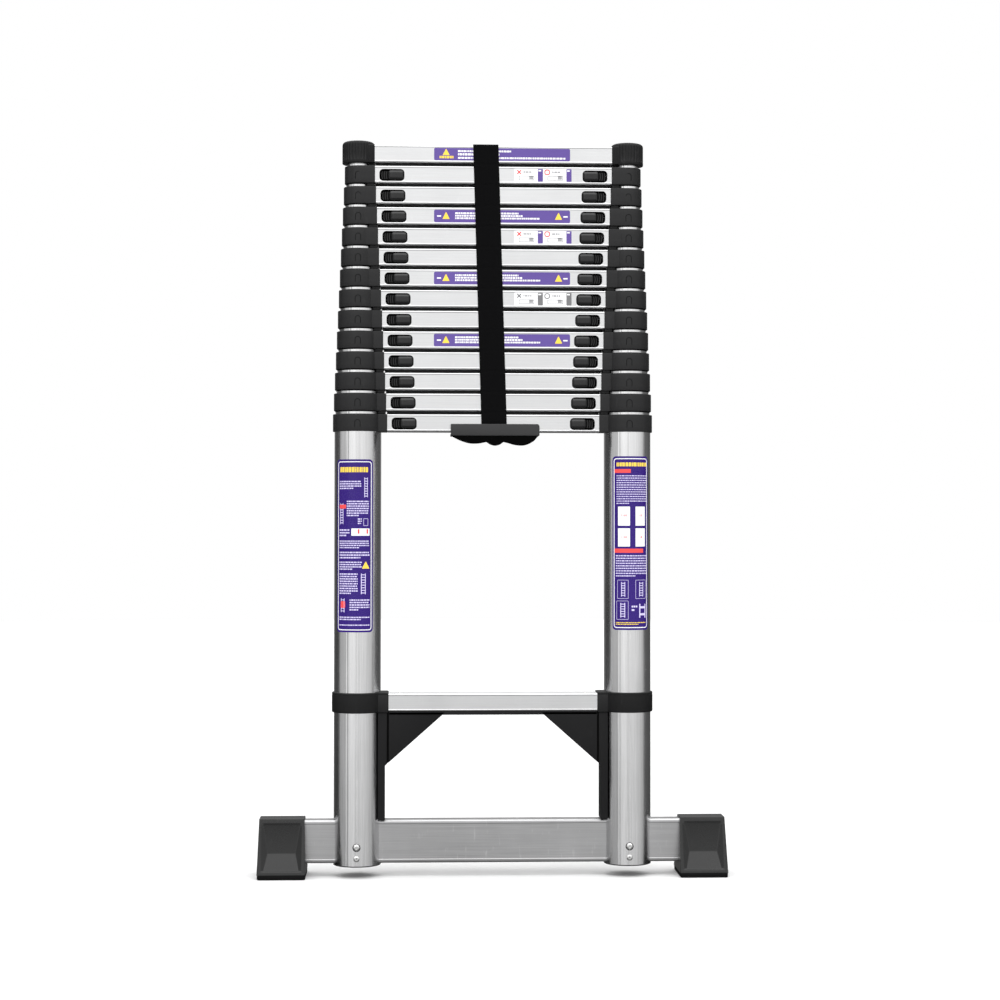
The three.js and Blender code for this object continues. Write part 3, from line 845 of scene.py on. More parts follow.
@dataclass
class HollowBar:
    """Extruded box section along X with a slightly sunk front face, tread ribs and rounded slots."""

    x: tuple[float, float]
    depth: float
    z: tuple[float, float]
    wall: float
    edge: float = 1.8
    sink: float = 0.25
    margin: float = 2.4
    rib_pitch: float = 3.0
    rib_depth: float = 0.35
    slots: Sequence[tuple[float, float, float, float, float]] = ()

    def shell(self) -> Shell:
        """Wall between the outer and the inner section, swept along X and opened at the slots.

        Returns:
            The closed skin.
        """
        outer, inner, front = self._sections()
        x = self._stations()
        rows = len(x)
        grids = []
        for loop in (outer, inner):
            points = np.zeros((rows, len(loop), 3))
            points[:, :, 0] = x[:, None]
            points[:, :, 1:] = loop[None]
            points[:, front] = self._warped(points[:, front])
            grids.append(points)
        return walled(grids[0], grids[1], self._kept(x, outer, front), True)

    def _sections(self) -> tuple[Grid, Grid, Grid]:
        """Outer and inner outlines in (y, z), anticlockwise, and which points lie on the front face."""
        r, d = self.edge, self.depth / 2
        low, high = self.z
        turn = np.linspace(0.0, math.pi / 2, 5)[1:-1]

        def corner(y: float, z: float, start: float) -> Grid:
            """Points inside a quarter circle."""
            return np.stack([y + r * np.cos(start + turn), z + r * np.sin(start + turn)], -1)

        base = np.linspace(-d + r, d - r, 7)
        tread = np.linspace(d - r, -d + r, int(6 * (self.depth - 2 * r) / self.rib_pitch) | 1)
        rise = self._front_heights()[::-1]
        back = np.array([low + r, high - r])
        parts = [
            np.stack([base, np.full_like(base, low)], -1), corner(d - r, low + r, -math.pi / 2),
            np.stack([np.full_like(back, d), back], -1), corner(d - r, high - r, 0.0),
            np.stack([tread, np.full_like(tread, high)], -1), corner(-d + r, high - r, math.pi / 2),
            np.stack([np.full_like(rise, -d), rise], -1), corner(-d + r, low + r, math.pi),
        ]
        plain = np.vstack(parts)
        outer = plain.copy()
        starts = np.cumsum([0] + [len(p) for p in parts])
        top = slice(starts[4], starts[5])
        ribs = np.cos(2 * math.pi * (tread - tread[0]) / self.rib_pitch)
        outer[top, 1] -= self.rib_depth * (0.5 - 0.5 * ribs)
        front = slice(starts[6], starts[7])
        room = np.minimum(rise - low, high - rise) - self.margin
        outer[front, 0] += self.sink * eased(room / 0.4)
        chosen = np.zeros(len(plain), bool)
        chosen[front] = True
        return outer, inset(plain, self.wall), chosen

    def _front_heights(self) -> Grid:
        """Heights of the points on the front face, rising, with the slots' own lines among them."""
        low, high = self.z
        lines = [np.array([low + self.edge, high - self.edge, (low + high) / 2])]
        for k in (-0.4, 0.0, 0.2, 0.4, 0.8):
            lines.append(np.array([low + self.margin + k, high - self.margin - k]))
        for _, z, _, height, radius in self.slots:
            lines.append(z - height / 2 + np.linspace(0.0, radius, 6))
            lines.append(z + height / 2 - np.linspace(0.0, radius, 6))
        return np.unique(np.round(np.concatenate(lines), 3))

    def _stations(self) -> Grid:
        """Places along X, with the slots' own lines among them."""
        lines = [np.linspace(self.x[0], self.x[1], 5), np.array([self.x[0] + 0.5, self.x[1] - 0.5])]
        for x, _, width, _, radius in self.slots:
            for side in (-1, 1):
                lines.append(x + side * (width / 2 - np.linspace(0.0, radius, 6)))
                lines.append(x + side * (width / 2 + np.array([0.8, 1.6])))
        return np.unique(np.round(np.concatenate(lines), 3))

    def _warped(self, points: Grid) -> Grid:
        """Bends the square corner of each slot's lines into a quarter circle.

        Past the corner's centre a point's offset e is scaled by max|e| / |e|, which sends squares to circles;
        the change fades out just beyond the slot.

        Args:
            points: Points of the front face.

        Returns:
            The moved points.
        """
        moved = points.copy()
        for x, z, width, height, radius in self.slots:
            half = np.array([width / 2 - radius, height / 2 - radius])
            offset = points[..., [0, 2]] - (x, z)
            core = np.clip(offset, -half, half)
            past = offset - core
            largest = np.abs(past).max(-1)
            length = np.maximum(np.linalg.norm(past, axis=-1), 1e-9)
            fade = 1.0 - np.clip((largest - radius) / 1.1, 0.0, 1.0)
            scale = 1.0 + (largest / length - 1.0) * fade * (largest > 0)
            near = largest < radius + 1.1
            bent = core + past * scale[..., None] + (x, z)
            moved[..., 0] = np.where(near, bent[..., 0], moved[..., 0])
            moved[..., 2] = np.where(near, bent[..., 1], moved[..., 2])
        return moved

    def _kept(self, x: Grid, loop: Grid, front: Grid) -> Grid:
        """Cells of the wall that no slot takes away.

        Args:
            x: Stations along X.
            loop: Outer outline.
            front: Points of the outline on the front face.

        Returns:
            True where there is a wall.
        """
        after = np.roll(loop, -1, 0)
        middle_z = (loop[:, 1] + after[:, 1]) / 2
        both = front & np.roll(front, -1)
        middle_x = (x[1:] + x[:-1]) / 2
        keep = np.ones((len(x) - 1, len(loop)), bool)
        for cx, cz, width, height, _ in self.slots:
            inside_x = np.abs(middle_x - cx) < width / 2
            inside_z = both & (np.abs(middle_z - cz) < height / 2)
            keep &= ~(inside_x[:, None] & inside_z[None, :])
        return keep


PIN_ROOM = 3.6


def pin_angle(radius: float) -> float:
    """Half angle, in degrees, that a pin's hole takes at a radius."""
    return math.degrees(math.asin(3.8 / radius))


@dataclass
class Collar:
    """Moulded collar: a ring round a tube and a flange that takes the rung's end, as one outline."""

    side: Side
    radius: float
    reach: float
    low: float
    high: float
    bore: float
    lip: float
    edge: float = 0.9
    rim: float = 0.0
    pin_z: float | None = None

    def outline(self) -> tuple[Grid, Grid]:
        """Polar outline about the tube's axis, angle 0 facing the rung.

        The flange is a box with slightly rounded corners, from a high-power norm of (cos a / reach,
        sin a / depth); beyond a quarter turn it fades to the ring. The outline is the larger of the two.

        Returns:
            Angles and distances.
        """
        depth = SIZES.flange_depth
        corner = math.degrees(math.atan2(depth, self.reach))
        near = np.array([-5.0, -3.4, -2.2, -1.2, -0.4, 0.4, 1.2, 2.2, 3.4, 5.0])
        marks = [np.linspace(-180.0, 176.0, 90), corner + near, -corner + near,
                 pin_angle(self.bore) * np.array([-1, 1])]
        if self.radius > depth:
            meet = math.degrees(math.asin(depth / self.radius))
            marks += [np.array([-meet - 1.0, -meet, -meet + 1.0, meet - 1.0, meet, meet + 1.0])]
        angle = np.unique(np.round(np.concatenate(marks), 2))
        turn = np.radians(angle)
        power = 30.0
        cosine, sine = np.abs(np.cos(turn)), np.abs(np.sin(turn))
        box = ((cosine / self.reach) ** power + (sine / depth) ** power) ** (-1 / power)
        fading = eased((np.abs(angle) - 80.0) / 45.0)
        box = box * (1.0 - fading) + min(self.radius, depth) * fading
        box = np.where(np.abs(angle) < 125.0, box, 0.0)
        return turn, np.maximum(self.radius, box)

    def shells(self) -> list[Shell]:
        """Ring and flange in one skin.

        Returns:
            The skins.
        """
        turn, reach = self.outline()
        x = SIZES.tube_offset * self.side.value

        def ring(distance: Grid | float, height: float) -> Grid:
            """Ring of points at a distance from the tube's axis."""
            far = np.broadcast_to(distance, turn.shape)
            return np.stack([x - self.side.value * far * np.cos(turn), far * np.sin(turn),
                             np.full_like(turn, height)], -1)

        quarter = np.linspace(0.0, math.pi / 2, 4)
        inwards, along = self.edge * (1 - np.sin(quarter)), self.edge * (1 - np.cos(quarter))
        rows = [(reach - i, self.low + a) for i, a in zip(inwards, along)]
        if self.pin_z is not None:
            rows += [(reach, self.pin_z - PIN_ROOM), (reach, self.pin_z + PIN_ROOM)]
        if self.rim > 0.0:
            rows += [(reach, self.high - 4.2), (reach - self.rim, self.high - 3.9),
                     (reach - self.rim, self.high - 3.2), (reach, self.high - 2.9)]
        rows += [(reach - i, self.high - a) for i, a in zip(inwards[::-1], along[::-1])]
        rows.append((self.lip, self.high))
        heights = np.array([height for _, height in rows])
        outer = np.array([ring(distance, height) for distance, height in rows])
        within = [(self.bore, min(height, self.high - 0.95)) for height in heights[:-1]]
        within.append((self.lip, self.high - 0.95))
        inner = np.array([ring(distance, height) for distance, height in within])
        keep = np.ones((len(rows) - 1, len(turn)), bool)
        if self.pin_z is not None:
            across = np.abs(np.degrees(turn + np.diff(turn, append=math.pi) / 2)) < pin_angle(self.bore)
            level = np.abs((heights[1:] + heights[:-1]) / 2 - self.pin_z) < PIN_ROOM
            keep = ~(level[:, None] & across[None, :])
        return [walled(outer, inner, keep, True)]

    def arch(self) -> Shell:
        """Raised arch on the ring's front: two uprights and a half circle, wrapped round the ring; its
        near-black finish is painted shade standing in for an engraved line.

        Returns:
            The skin.
        """
        half, foot, spring = 4.0, self.low + 6.0, self.low + 13.0
        turn = np.linspace(math.pi, 0.0, 13)
        flat = np.vstack([[(-half, foot), (-half, (foot + spring) / 2)],
                          np.stack([half * np.cos(turn), spring + half * np.sin(turn)], -1),
                          [(half, (foot + spring) / 2), (half, foot)]])
        angle = flat[:, 0] / self.radius
        facing = np.stack([np.sin(angle), -np.cos(angle), np.zeros_like(angle)], -1)
        centre = np.array([SIZES.tube_offset * self.side.value, 0.0, 0.0])
        skin = max(self.radius, self._front()) - 0.22
        path = centre + facing * skin + np.stack([np.zeros_like(angle), np.zeros_like(angle), flat[:, 1]], -1)
        # Near-black rod (mark 1): painted shade standing in for an engraved arch line.
        return rod(path, facing, 0.5, mark=1)

    def _front(self) -> float:
        """Distance of the collar's front from the tube's axis."""
        turn, reach = self.outline()
        return float(reach[np.argmin(np.abs(np.abs(turn) - math.pi / 2))])

    def painted_shade_ring(self) -> Shell:
        """Near-black ring round the tube just under the collar: painted shade in the gap below the collar."""
        x = SIZES.tube_offset * self.side.value
        profile = [(self.bore, self.low - 1.7), (self.bore + 0.5, self.low - 1.6),
                   (self.bore + 0.5, self.low + 0.4), (self.bore, self.low + 0.4)]
        return turned(profile, (x, 0.0, 0.0), sides=72, mark=1)

    def lug(self) -> Shell:
        """Small stop under the flange, just clear of the collar below."""
        inner = self.side.value * (SIZES.tube_offset - self.reach)
        span = (inner + self.side.value * 1.0, inner + self.side.value * 12.0)
        return block(span, (-17.0, 17.0), (self.low - 4.3, self.low + 1.0), 0.5)


@dataclass
class LockButton:
    """Lock: black tray lining the slot, and the sliding pad with its ribbed tail, slider and pin."""

    side: Side
    row: int
    slot_width: float = 37.4
    slot_height: float = 18.0
    slot_radius: float = 6.0
    from_flange: float = 6.5
    centre_height: float = 12.0
    pad_width: float = 22.6
    pad_height: float = 14.4
    travel: float = 8.5

    @property
    def slot_x(self) -> float:
        """Middle of the slot along X."""
        return self.side.value * (SIZES.tube_offset - SIZES.reach(self.row) - self.from_flange
                                  - self.slot_width / 2)

    @property
    def slot_z(self) -> float:
        """Middle of the slot in height."""
        return SIZES.bottom(self.row) + self.centre_height

    def opening(self) -> tuple[float, float, float, float, float]:
        """Slot as the rung takes it: middle, size and corner radius."""
        return self.slot_x, self.slot_z, self.slot_width, self.slot_height, self.slot_radius

    def bores(self) -> list[tuple[float, float, float, float]]:
        """Hole for the pin in the tube's wall, as a Tube slot."""
        half = pin_angle(SIZES.radius(self.row))
        return [(-90.0 * self.side.value, half, self.slot_z - PIN_ROOM, self.slot_z + PIN_ROOM)]

    def tray(self) -> list[Shell]:
        """Edging just proud of the rung, and the tray's floor, cheeks and inner end behind it, all
        near-black: the edging is a black liner, while the floor, cheeks and inner end are painted shade that
        darkens the slot's cavity.

        Returns:
            The skins.
        """
        loop = rounded_box(self.slot_width, self.slot_height, self.slot_radius, 6, (self.slot_x, self.slot_z))
        profile = ((0.04, -18.7), (0.04, -19.8), (0.14, -20.05), (0.4, -20.2), (0.75, -20.15), (1.0, -19.9),
                   (1.0, -18.7))
        rings = [stand(inset(loop, amount), y, Axis.Y) for amount, y in profile]
        half, inner = self.slot_width / 2, self.slot_x - self.side.value * self.slot_width / 2
        end = (inner, inner + self.side.value * 0.8)
        deep = (-18.4, 6.8)
        low, high = self.slot_z - self.slot_height / 2, self.slot_z + self.slot_height / 2
        across = (self.slot_x - half, self.slot_x + half)
        return [ring_body(np.array(rings)), prism(inset(loop, 0.5), 6.6, 7.6, Axis.Y, 0.2),
                block(across, deep, (low, low + 0.8), 0.2), block(across, deep, (high - 0.8, high), 0.2),
                block(end, deep, (low + 0.4, high - 0.4), 0.2)]

    def pad(self) -> list[Shell]:
        """Crowned thumb pad, its tail with curved ribs, the slider behind it and the pin.

        The pad rises to its face over a sloping border, as a stack of ever narrower outlines.

        Returns:
            The skins.
        """
        out = self.side.value
        inner = self.slot_x - out * self.slot_width / 2
        middle = np.array([inner + out * (1.2 + self.pad_width / 2), self.slot_z])
        loop = rounded_box(self.pad_width, self.pad_height, 3.4, 6) + middle
        half = np.array([self.pad_width / 2, self.pad_height / 2])
        rings = [stand(inset(loop, 0.3), -16.6, Axis.Y), stand(loop, -16.9, Axis.Y)]
        for narrower, rise in ((0.0, 0.0), (0.12, 0.25), (0.4, 0.5), (2.5, 1.7), (2.9, 1.87), (3.4, 1.96),
                               (4.6, 2.05)):
            rings.append(stand((loop - middle) * (half - narrower) / half + middle, -19.4 - rise, Axis.Y))
        edge = middle[0] + out * self.pad_width / 2
        tall = (self.slot_z - 6.8, self.slot_z + 6.8)
        tail = (edge - out * 2.0, edge + out * 10.6)
        # The tail block takes the second, near-black finish: painted shade on the recessed end of the slot.
        shells = [loft(np.array(rings)), block(tail, (-17.6, -14.6), tall, 0.8, Axis.Y, 1)]
        for gap in (2.2, 5.4, 9.0):
            shells.append(self._rib(edge + out * gap, out))
        shells.append(block((middle[0] - 10.0, middle[0] + 10.0), (-17.0, 5.6), tall, 0.5, Axis.Y))
        shells.append(self._pin(middle[0]))
        return shells

    def _rib(self, x: float, out: int) -> Shell:
        """Upright rib that bows outwards: x + bow (1 - s^2) while z goes from one end to the other.

        Args:
            x: Place of its ends along X.
            out: Sign of the outward direction.

        Returns:
            The skin.
        """
        share = np.linspace(-1.0, 1.0, 11)
        path = np.stack([x + out * 1.1 * (1 - share**2), np.full_like(share, -17.5),
                         self.slot_z + 5.9 * share], -1)
        facing = np.tile([0.0, -1.0, 0.0], (len(share), 1))
        return rod(path, facing, 0.85)

    def _pin(self, x: float) -> Shell:
        """Round pin from the slider towards the tube, short of it by the travel."""
        next_tube = SIZES.radius(self.row) - SIZES.radius_step + 0.3
        tip = self.side.value * (SIZES.tube_offset - next_tube - self.travel - 0.3)
        return prism(circle(3.2, 20, (0.0, self.slot_z)), x, tip, Axis.X, 0.5)


@dataclass
class EndCap:
    """Fluted cap closing a top tube: plain foot band, upright flutes and a rounded shoulder."""

    side: Side
    radius: float = 24.3
    low: float = 1065.0
    high: float = 1098.0
    band: float = 4.4
    shoulder: float = 5.2
    flutes: int = 30
    flute_depth: float = 0.8

    def shell(self) -> Shell:
        """Turned profile whose radius loses depth (1 - |cos(n a / 2)|) between the band and the shoulder.

        Returns:
            The closed skin, hollow over the tube.
        """
        bore = SIZES.radius(1) + 0.4
        turn = np.linspace(0.0, math.pi / 2, 7)
        shoulder = np.stack([self.radius - self.shoulder * (1 - np.cos(turn)),
                             self.high - self.shoulder * (1 - np.sin(turn))], -1)
        lower = [(0.0, self.high - 3.0), (bore, self.high - 3.0), (bore, self.low),
                 (self.radius - 0.8, self.low), (self.radius - 0.2, self.low + 0.4),
                 (self.radius, self.low + 1.0),
                 (self.radius, self.low + self.band - 0.4), (self.radius, self.low + self.band),
                 (self.radius, self.low + self.band + 0.5), (self.radius, self.low + 15.0)]
        line = np.vstack([lower, shoulder, [(self.radius - self.shoulder - 1.6, self.high - 0.35),
                                            (0.0, self.high - 0.35)]])
        angle = np.linspace(0.0, 2 * math.pi, self.flutes * 8, endpoint=False)
        fluted = np.array([0.0] * 8 + [1.0] * 9 + [0.0] * 2)
        fluted = np.resize(fluted, len(line)) * np.clip((line[:, 1] - self.low - self.band) / 0.5, 0.0, 1.0)
        fluted[-3:] = 0.0
        fluted[0:3] = 0.0
        hollow = self.flute_depth * (1.0 - np.abs(np.cos(self.flutes * angle / 2)))
        reach = line[:, 0:1] - fluted[:, None] * hollow[None, :]
        x = SIZES.tube_offset * self.side.value
        rise = np.broadcast_to(line[:, 1:2], reach.shape)
        shell = Shell()
        shell.grid(np.stack([x + reach * np.cos(angle), reach * np.sin(angle), rise], -1), wrap=True)
        return shell


@dataclass
class Strap:
    """Flat webbing loop round the stack, leaning a little, in spans that bend between rows."""

    width: float = 38.0
    thickness: float = 1.6
    standoff: float = 0.4
    top_x: float = -11.8
    bottom_x: float = 1.3

    def _middle(self, z: Grid) -> Grid:
        """Middle of the band along X, straight between its two ends."""
        bottom = SIZES.lowest_rung
        top = SIZES.bottom(1) + SIZES.rung_height
        return self.bottom_x + (self.top_x - self.bottom_x) * (z - bottom) / (top - bottom)

    def _band(self, path: Grid, normal: Grid) -> Shell:
        """Flat section carried along a path in the YZ plane: x follows the lean, the rest the normal.

        Args:
            path: (y, z) points of the middle of the band.
            normal: Unit normals in (y, z).

        Returns:
            The closed skin.
        """
        flat = rounded_box(self.width, self.thickness, 0.72, 3)
        crown = 0.12 * np.cos(np.pi * flat[:, 0] / self.width)
        across = flat[None, :, 0] + self._middle(path[:, 1])[:, None]
        off = flat[None, :, 1] + crown[None, :]
        y = path[:, 0:1] + normal[:, 0:1] * off
        z = path[:, 1:2] + normal[:, 1:2] * off
        return loft(np.stack([across, y, z], -1))

    def _fold(self, level: float, away: int) -> Shell:
        """Band over one end of the stack: up the front, round two quarter circles and down the back.

        Args:
            level: Height of the middle of the flat part.
            away: 1 for the top end and -1 for the bottom end.

        Returns:
            The closed skin.
        """
        deep = SIZES.rung_depth / 2 + self.standoff + self.thickness / 2
        bend = 2.0
        start = level - away * 13.0 - away * (self.standoff + self.thickness / 2)
        turn = np.linspace(math.pi, math.pi / 2, 7)
        leg = np.stack([np.full(6, -deep), np.linspace(start, level - away * bend, 6, endpoint=False)], -1)
        front = np.stack([-deep + bend + bend * np.cos(turn),
                          level + away * (bend * np.sin(turn) - bend)], -1)
        flat = np.stack([np.linspace(-deep + bend, deep - bend, 9)[1:-1], np.full(7, level)], -1)
        half = np.vstack([leg, front])
        path = np.vstack([half, flat, half[::-1] * (-1, 1)])
        along = unit(np.gradient(path, axis=0))
        normal = away * np.stack([-along[:, 1], along[:, 0]], -1)
        return self._band(path, normal)

    def pieces(self) -> list[Piece]:
        """Both folded ends and the thirteen pairs of spans.

        Returns:
            The pieces; each span runs from the row below it to the row above it.
        """
        deep = SIZES.rung_depth / 2 + self.standoff + self.thickness / 2
        thick = self.standoff + self.thickness / 2
        half = SIZES.rung_height / 2
        made = [
            Piece("strap_bottom", "base", [WEBBING], [self._fold(SIZES.lowest_rung - thick, -1)], ["strap"]),
            Piece("strap_top", "stage_01", [WEBBING],
                  [self._fold(SIZES.bottom(1) + SIZES.rung_height + thick, 1)], ["strap"]),
        ]
        for row in range(1, SIZES.rows):
            low, high = SIZES.bottom(row + 1) + half, SIZES.bottom(row) + half
            start, end = SIZES.bottom(row + 1) + SIZES.rung_height - 1.0, SIZES.bottom(row) + 1.0
            z = np.unique(np.concatenate([np.linspace(low, high, 5), np.linspace(start, end, 15)]))
            slack = 0.25 * np.sin(np.pi * np.clip((z - start) / (end - start), 0.0, 1.0)) ** 2
            shells = []
            for way in (-1, 1):
                path = np.stack([way * (deep - slack), z], -1)
                shells.append(self._band(path, np.tile([float(way), 0.0], (len(z), 1))))
            bends = (SIZES.body(row + 1), SIZES.body(row),
                     np.array([0.0, 0.0, start]), np.array([0.0, 0.0, end]))
            made.append(Piece(f"strap_span_{row:02d}", SIZES.body(row), [WEBBING], shells, ["strap"],
                              bends=bends))
        return made


@dataclass
class CarryHandle:
    """Handle under the lowest stacked rung: upright lip, plate and a grip with three finger lobes."""

    left: float = -63.75
    right: float = 68.75
    lip_top: float = 674.0
    plate_top: float = 660.3
    bottom: float = 656.5
    front: float = -26.0
    lip_back: float = -22.3
    back: float = 20.0
    lobes: Sequence[Sequence[tuple[float, float]]] = (
        ((-63.5, 657.6), (-60.0, 655.0), (-50.0, 650.0), (-40.0, 646.6), (-32.0, 645.2), (-22.0, 645.4),
         (-14.0, 646.8), (-10.0, 647.6)),
        ((-10.0, 647.6), (-4.0, 643.8), (3.0, 642.2), (10.0, 643.8), (15.5, 647.6)),
        ((15.5, 647.6), (22.0, 646.2), (32.0, 643.4), (43.5, 642.4), (52.0, 644.2), (60.0, 648.5),
         (65.0, 654.0), (68.2, 657.6)),
    )

    def pieces(self) -> list[Piece]:
        """The handle with its lip and grip, and its two hidden fixing posts.

        Returns:
            The pieces.
        """
        lip = self._lip_outline()
        lower = [smooth_curve(lobe, 7)[:-1] for lobe in self.lobes]
        grip = np.vstack([*lower, [self.lobes[-1][-1], (self.right - 1.5, 659.0), (self.left + 1.5, 659.0)]])
        shells = [
            prism(lip, self.front, self.lip_back, Axis.Y, 0.8),
            block((self.left, self.right), (self.front + 0.2, self.back), (self.bottom, self.plate_top), 0.9),
        ]
        grip_shell = prism(grip, self.front + 1.2, -3.0, Axis.Y, 1.6, 4)
        posts = [prism(circle(4.0, 20, (x, 0.0)), self.plate_top - 1.0, SIZES.lowest_rung - 0.3, Axis.Z, 0.3)
                 for x in (-45.0, 50.0)]
        return [
            # The plate takes the lighter black as painted light, the grip the near-black as painted shade.
            Piece("carry_handle_plate", "base", [HANDLE_LIT_BLACK], shells + posts, ["carry_handle"]),
            Piece("carry_handle_grip", "base", [HANDLE_SHADED_BLACK], [grip_shell], ["carry_handle"], sharp=50.0),
        ]

    def _lip_outline(self) -> Grid:
        """Lip as seen from the front: small corners, and one larger at the top right."""
        radii = (4.0, 1.0, 1.0, 1.0)
        corners = ((self.right, self.lip_top), (self.left, self.lip_top), (self.left, self.bottom),
                   (self.right, self.bottom))
        signs = ((1, 1), (-1, 1), (-1, -1), (1, -1))
        turn = np.linspace(0.0, math.pi / 2, 6)
        parts = []
        for k, (radius, corner, sign) in enumerate(zip(radii, corners, signs)):
            middle = np.array(corner) - radius * np.array(sign)
            angle = k * math.pi / 2 + turn
            parts.append(middle + radius * np.stack([np.cos(angle), np.sin(angle)], -1))
        return np.vstack(parts)


@dataclass
class Foot:
    """Splayed foot: framed front with a hopper pocket, sloping ledge, and a sole under it."""

    side: Side
    centre: float = 313.5
    height: float = 87.0
    sole: float = 6.5
    bottom_width: float = 72.0
    top_width: float = 67.0
    bottom_depth: float = 84.0
    top_depth: float = 34.0

    def _half_width(self, z: float) -> float:
        """Half width at a height, straight from bottom to top."""
        return (self.bottom_width + (self.top_width - self.bottom_width) * z / self.height) / 2

    def _half_depth(self, z: float) -> float:
        """Half depth at a height, straight from bottom to top."""
        return (self.bottom_depth + (self.top_depth - self.bottom_depth) * z / self.height) / 2

    def _front(self) -> Grid:
        """Front face on a grid of seven heights and six places across, the pocket's nodes set back.

        Each row gives height, half widths of the opening and of the pocket's floor, and how far the
        floor stands from the middle plane.

        Returns:
            Rows by columns by three.
        """
        rows = (
            (self.sole, 30.2, 25.5, None, self.sole), (11.5, 30.2, 25.5, None, 11.5),
            (13.0, 30.2, 25.5, -36.5, 12.6), (37.0, 30.4, 20.5, -25.0, 37.0), (77.0, 30.4, 26.8, -18.6, 77.0),
            (80.5, 30.6, 26.8, None, 80.5), (self.height, 30.6, 26.8, None, self.height),
        )
        grid = []
        for z, opening, floor, depth, floor_z in rows:
            outer, face = self._half_width(z), -self._half_depth(z)
            inner_y = face if depth is None else depth
            half = ((outer, face, z), (opening, face, z), (floor, inner_y, floor_z))
            left = [(-w, y, h) for w, y, h in half]
            right = [(w, y, h) for w, y, h in half[::-1]]
            grid.append(left + right)
        return np.array(grid)

    def pieces(self) -> list[Piece]:
        """Foot body and sole.

        Returns:
            The pieces.
        """
        front = self._front()
        back = front.copy()
        back[:, :, 1] = np.array([self._half_depth(z) for z in front[:, 0, 2]])[:, None]
        back[:, :, 2] = front[:, 0, 2][:, None]
        middle = np.array([self.side.value * self.centre, 0.0, 0.0])
        shell = Shell()
        for points in (front, back, *(np.stack([front[rim], back[rim]]) for rim in (
                np.s_[:, 0], np.s_[:, -1], np.s_[0], np.s_[-1]))):
            shell.grid(points + middle)
        label = self.side.label
        half_w, half_d = self._half_width(3.0) - 0.4, self._half_depth(3.0) - 0.4
        outline = rounded_box(2 * half_w, 2 * half_d, 4.0, 6, (middle[0], 0.0))
        groove = [stand(inset(outline, i), z, Axis.Z) for i, z in (
            (1.6, 0.0), (0.6, 0.35), (0.0, 1.2), (0.0, 2.6), (0.5, 2.9), (0.5, 3.4), (0.0, 3.7), (0.0, 6.2),
            (0.4, 6.6))]
        return [
            Piece(f"foot_body_{label}", "base", [FOOT_RUBBER], [shell], [f"foot_{label}"], bevel=0.9,
                  sharp=14.0),
            Piece(f"foot_sole_{label}", "base", [SOLE_RUBBER], [loft(np.array(groove))], [f"foot_{label}"]),
        ]


@dataclass
class Brace:
    """Pressed steel brace: a channel leg and corner plates at each side, and a strip under the rung."""

    depth: float = 20.0
    plate: float = 2.5
    outer: float = 171.5
    web: float = 161.1
    fold: float = 158.2
    low: float = 84.3
    top: float = 243.7
    strip_low: float = 240.5
    strip_high: float = 245.7
    tip_x: float = 75.6
    tip_z: float = 165.0
    groove: float = 3.0

    def pieces(self) -> list[Piece]:
        """Legs and corner plates of both sides, and the strip.

        Returns:
            The pieces.
        """
        made = []
        for side in Side:
            shells = []
            for way in (-1, 1):
                for outline, front, back, edge, mark in (
                        (self._leg(side), 0.0, self.plate, 0.6, 0), (self._gusset(side), 0.1, 1.7, 0.4, 0),
                        # The recessed plate takes mark 1, the near-black finish: painted shade in the groove.
                        (self._floor(side), 1.6, 2.5, 0.2, 1)):
                    shells.append(prism(outline, way * (self.depth - front), way * (self.depth - back),
                                        Axis.Y, edge, mark=mark))
            web = (side.value * self.web, side.value * (self.web + 2.5))
            deep = self.depth - self.plate + 0.6
            shells.append(block(web, (-deep, deep), (self.low, self.top), 0.5))
            made.append(Piece(f"brace_leg_{side.label}", "base", [COATED, DARK_STEEL_AND_SHADE], shells,
                              ["brace_frame"]))
        deep = self.depth - 0.3
        across = (-155.2, 155.2)
        strip = [block(across, (-deep, deep), (self.strip_low + 2.6, self.strip_high), 0.5)]
        for way in (-1, 1):
            flange = (way * (self.depth - 0.1), way * (self.depth - 1.9))
            strip.append(block(across, flange, (self.strip_low, self.strip_high - 0.2), 0.5, Axis.X))
        made.append(Piece("brace_strip", "base", [COATED], strip, ["brace_frame"]))
        return made

    def _leg(self, side: Side) -> Grid:
        """Leg's front plate from the tube to the fold, cut along the corner plate's slope.

        Args:
            side: Which leg.

        Returns:
            Anticlockwise outline.
        """
        meet = self._edge(self.fold)
        outline = np.array([(self.web, self.low), (self.outer, self.low), (self.outer, self.top),
                            (self.fold, self.top), (self.fold, meet), (self.web, self.tip_z)])
        return self._turned(outline, side)

    def _gusset(self, side: Side) -> Grid:
        """Triangular corner plate between the leg and the strip.

        Args:
            side: Which corner.

        Returns:
            Anticlockwise outline.
        """
        high, near = self.strip_high - 1.2, self.fold - self.groove
        outline = np.array([(near, self._edge(near)), (near, high), (self.tip_x - 4.0, high),
                            (self.tip_x, self.strip_low)])
        return self._turned(outline, side)

    def _edge(self, x: float) -> float:
        """Height of the sloping edge at a distance from the middle."""
        slope = (self.strip_low - self.tip_z) / (self.web - self.tip_x)
        return self.tip_z + slope * (self.web - x)

    def _floor(self, side: Side) -> Grid:
        """Recessed plate under the groove between the leg's plate and the corner plate; its near-black finish
        is painted shade in the groove.

        Args:
            side: Which corner.

        Returns:
            Anticlockwise outline.
        """
        near, far = self.web + 1.0, self.fold - self.groove - 2.0
        outline = np.array([(near, self._edge(self.web)), (near, self.top), (far, self.top),
                            (far, self._edge(far))])
        return self._turned(outline, side)

    def _turned(self, outline: Grid, side: Side) -> Grid:
        """Outline mirrored for the left side, kept anticlockwise."""
        return outline if side is Side.RIGHT else (outline * (-1, 1))[::-1]


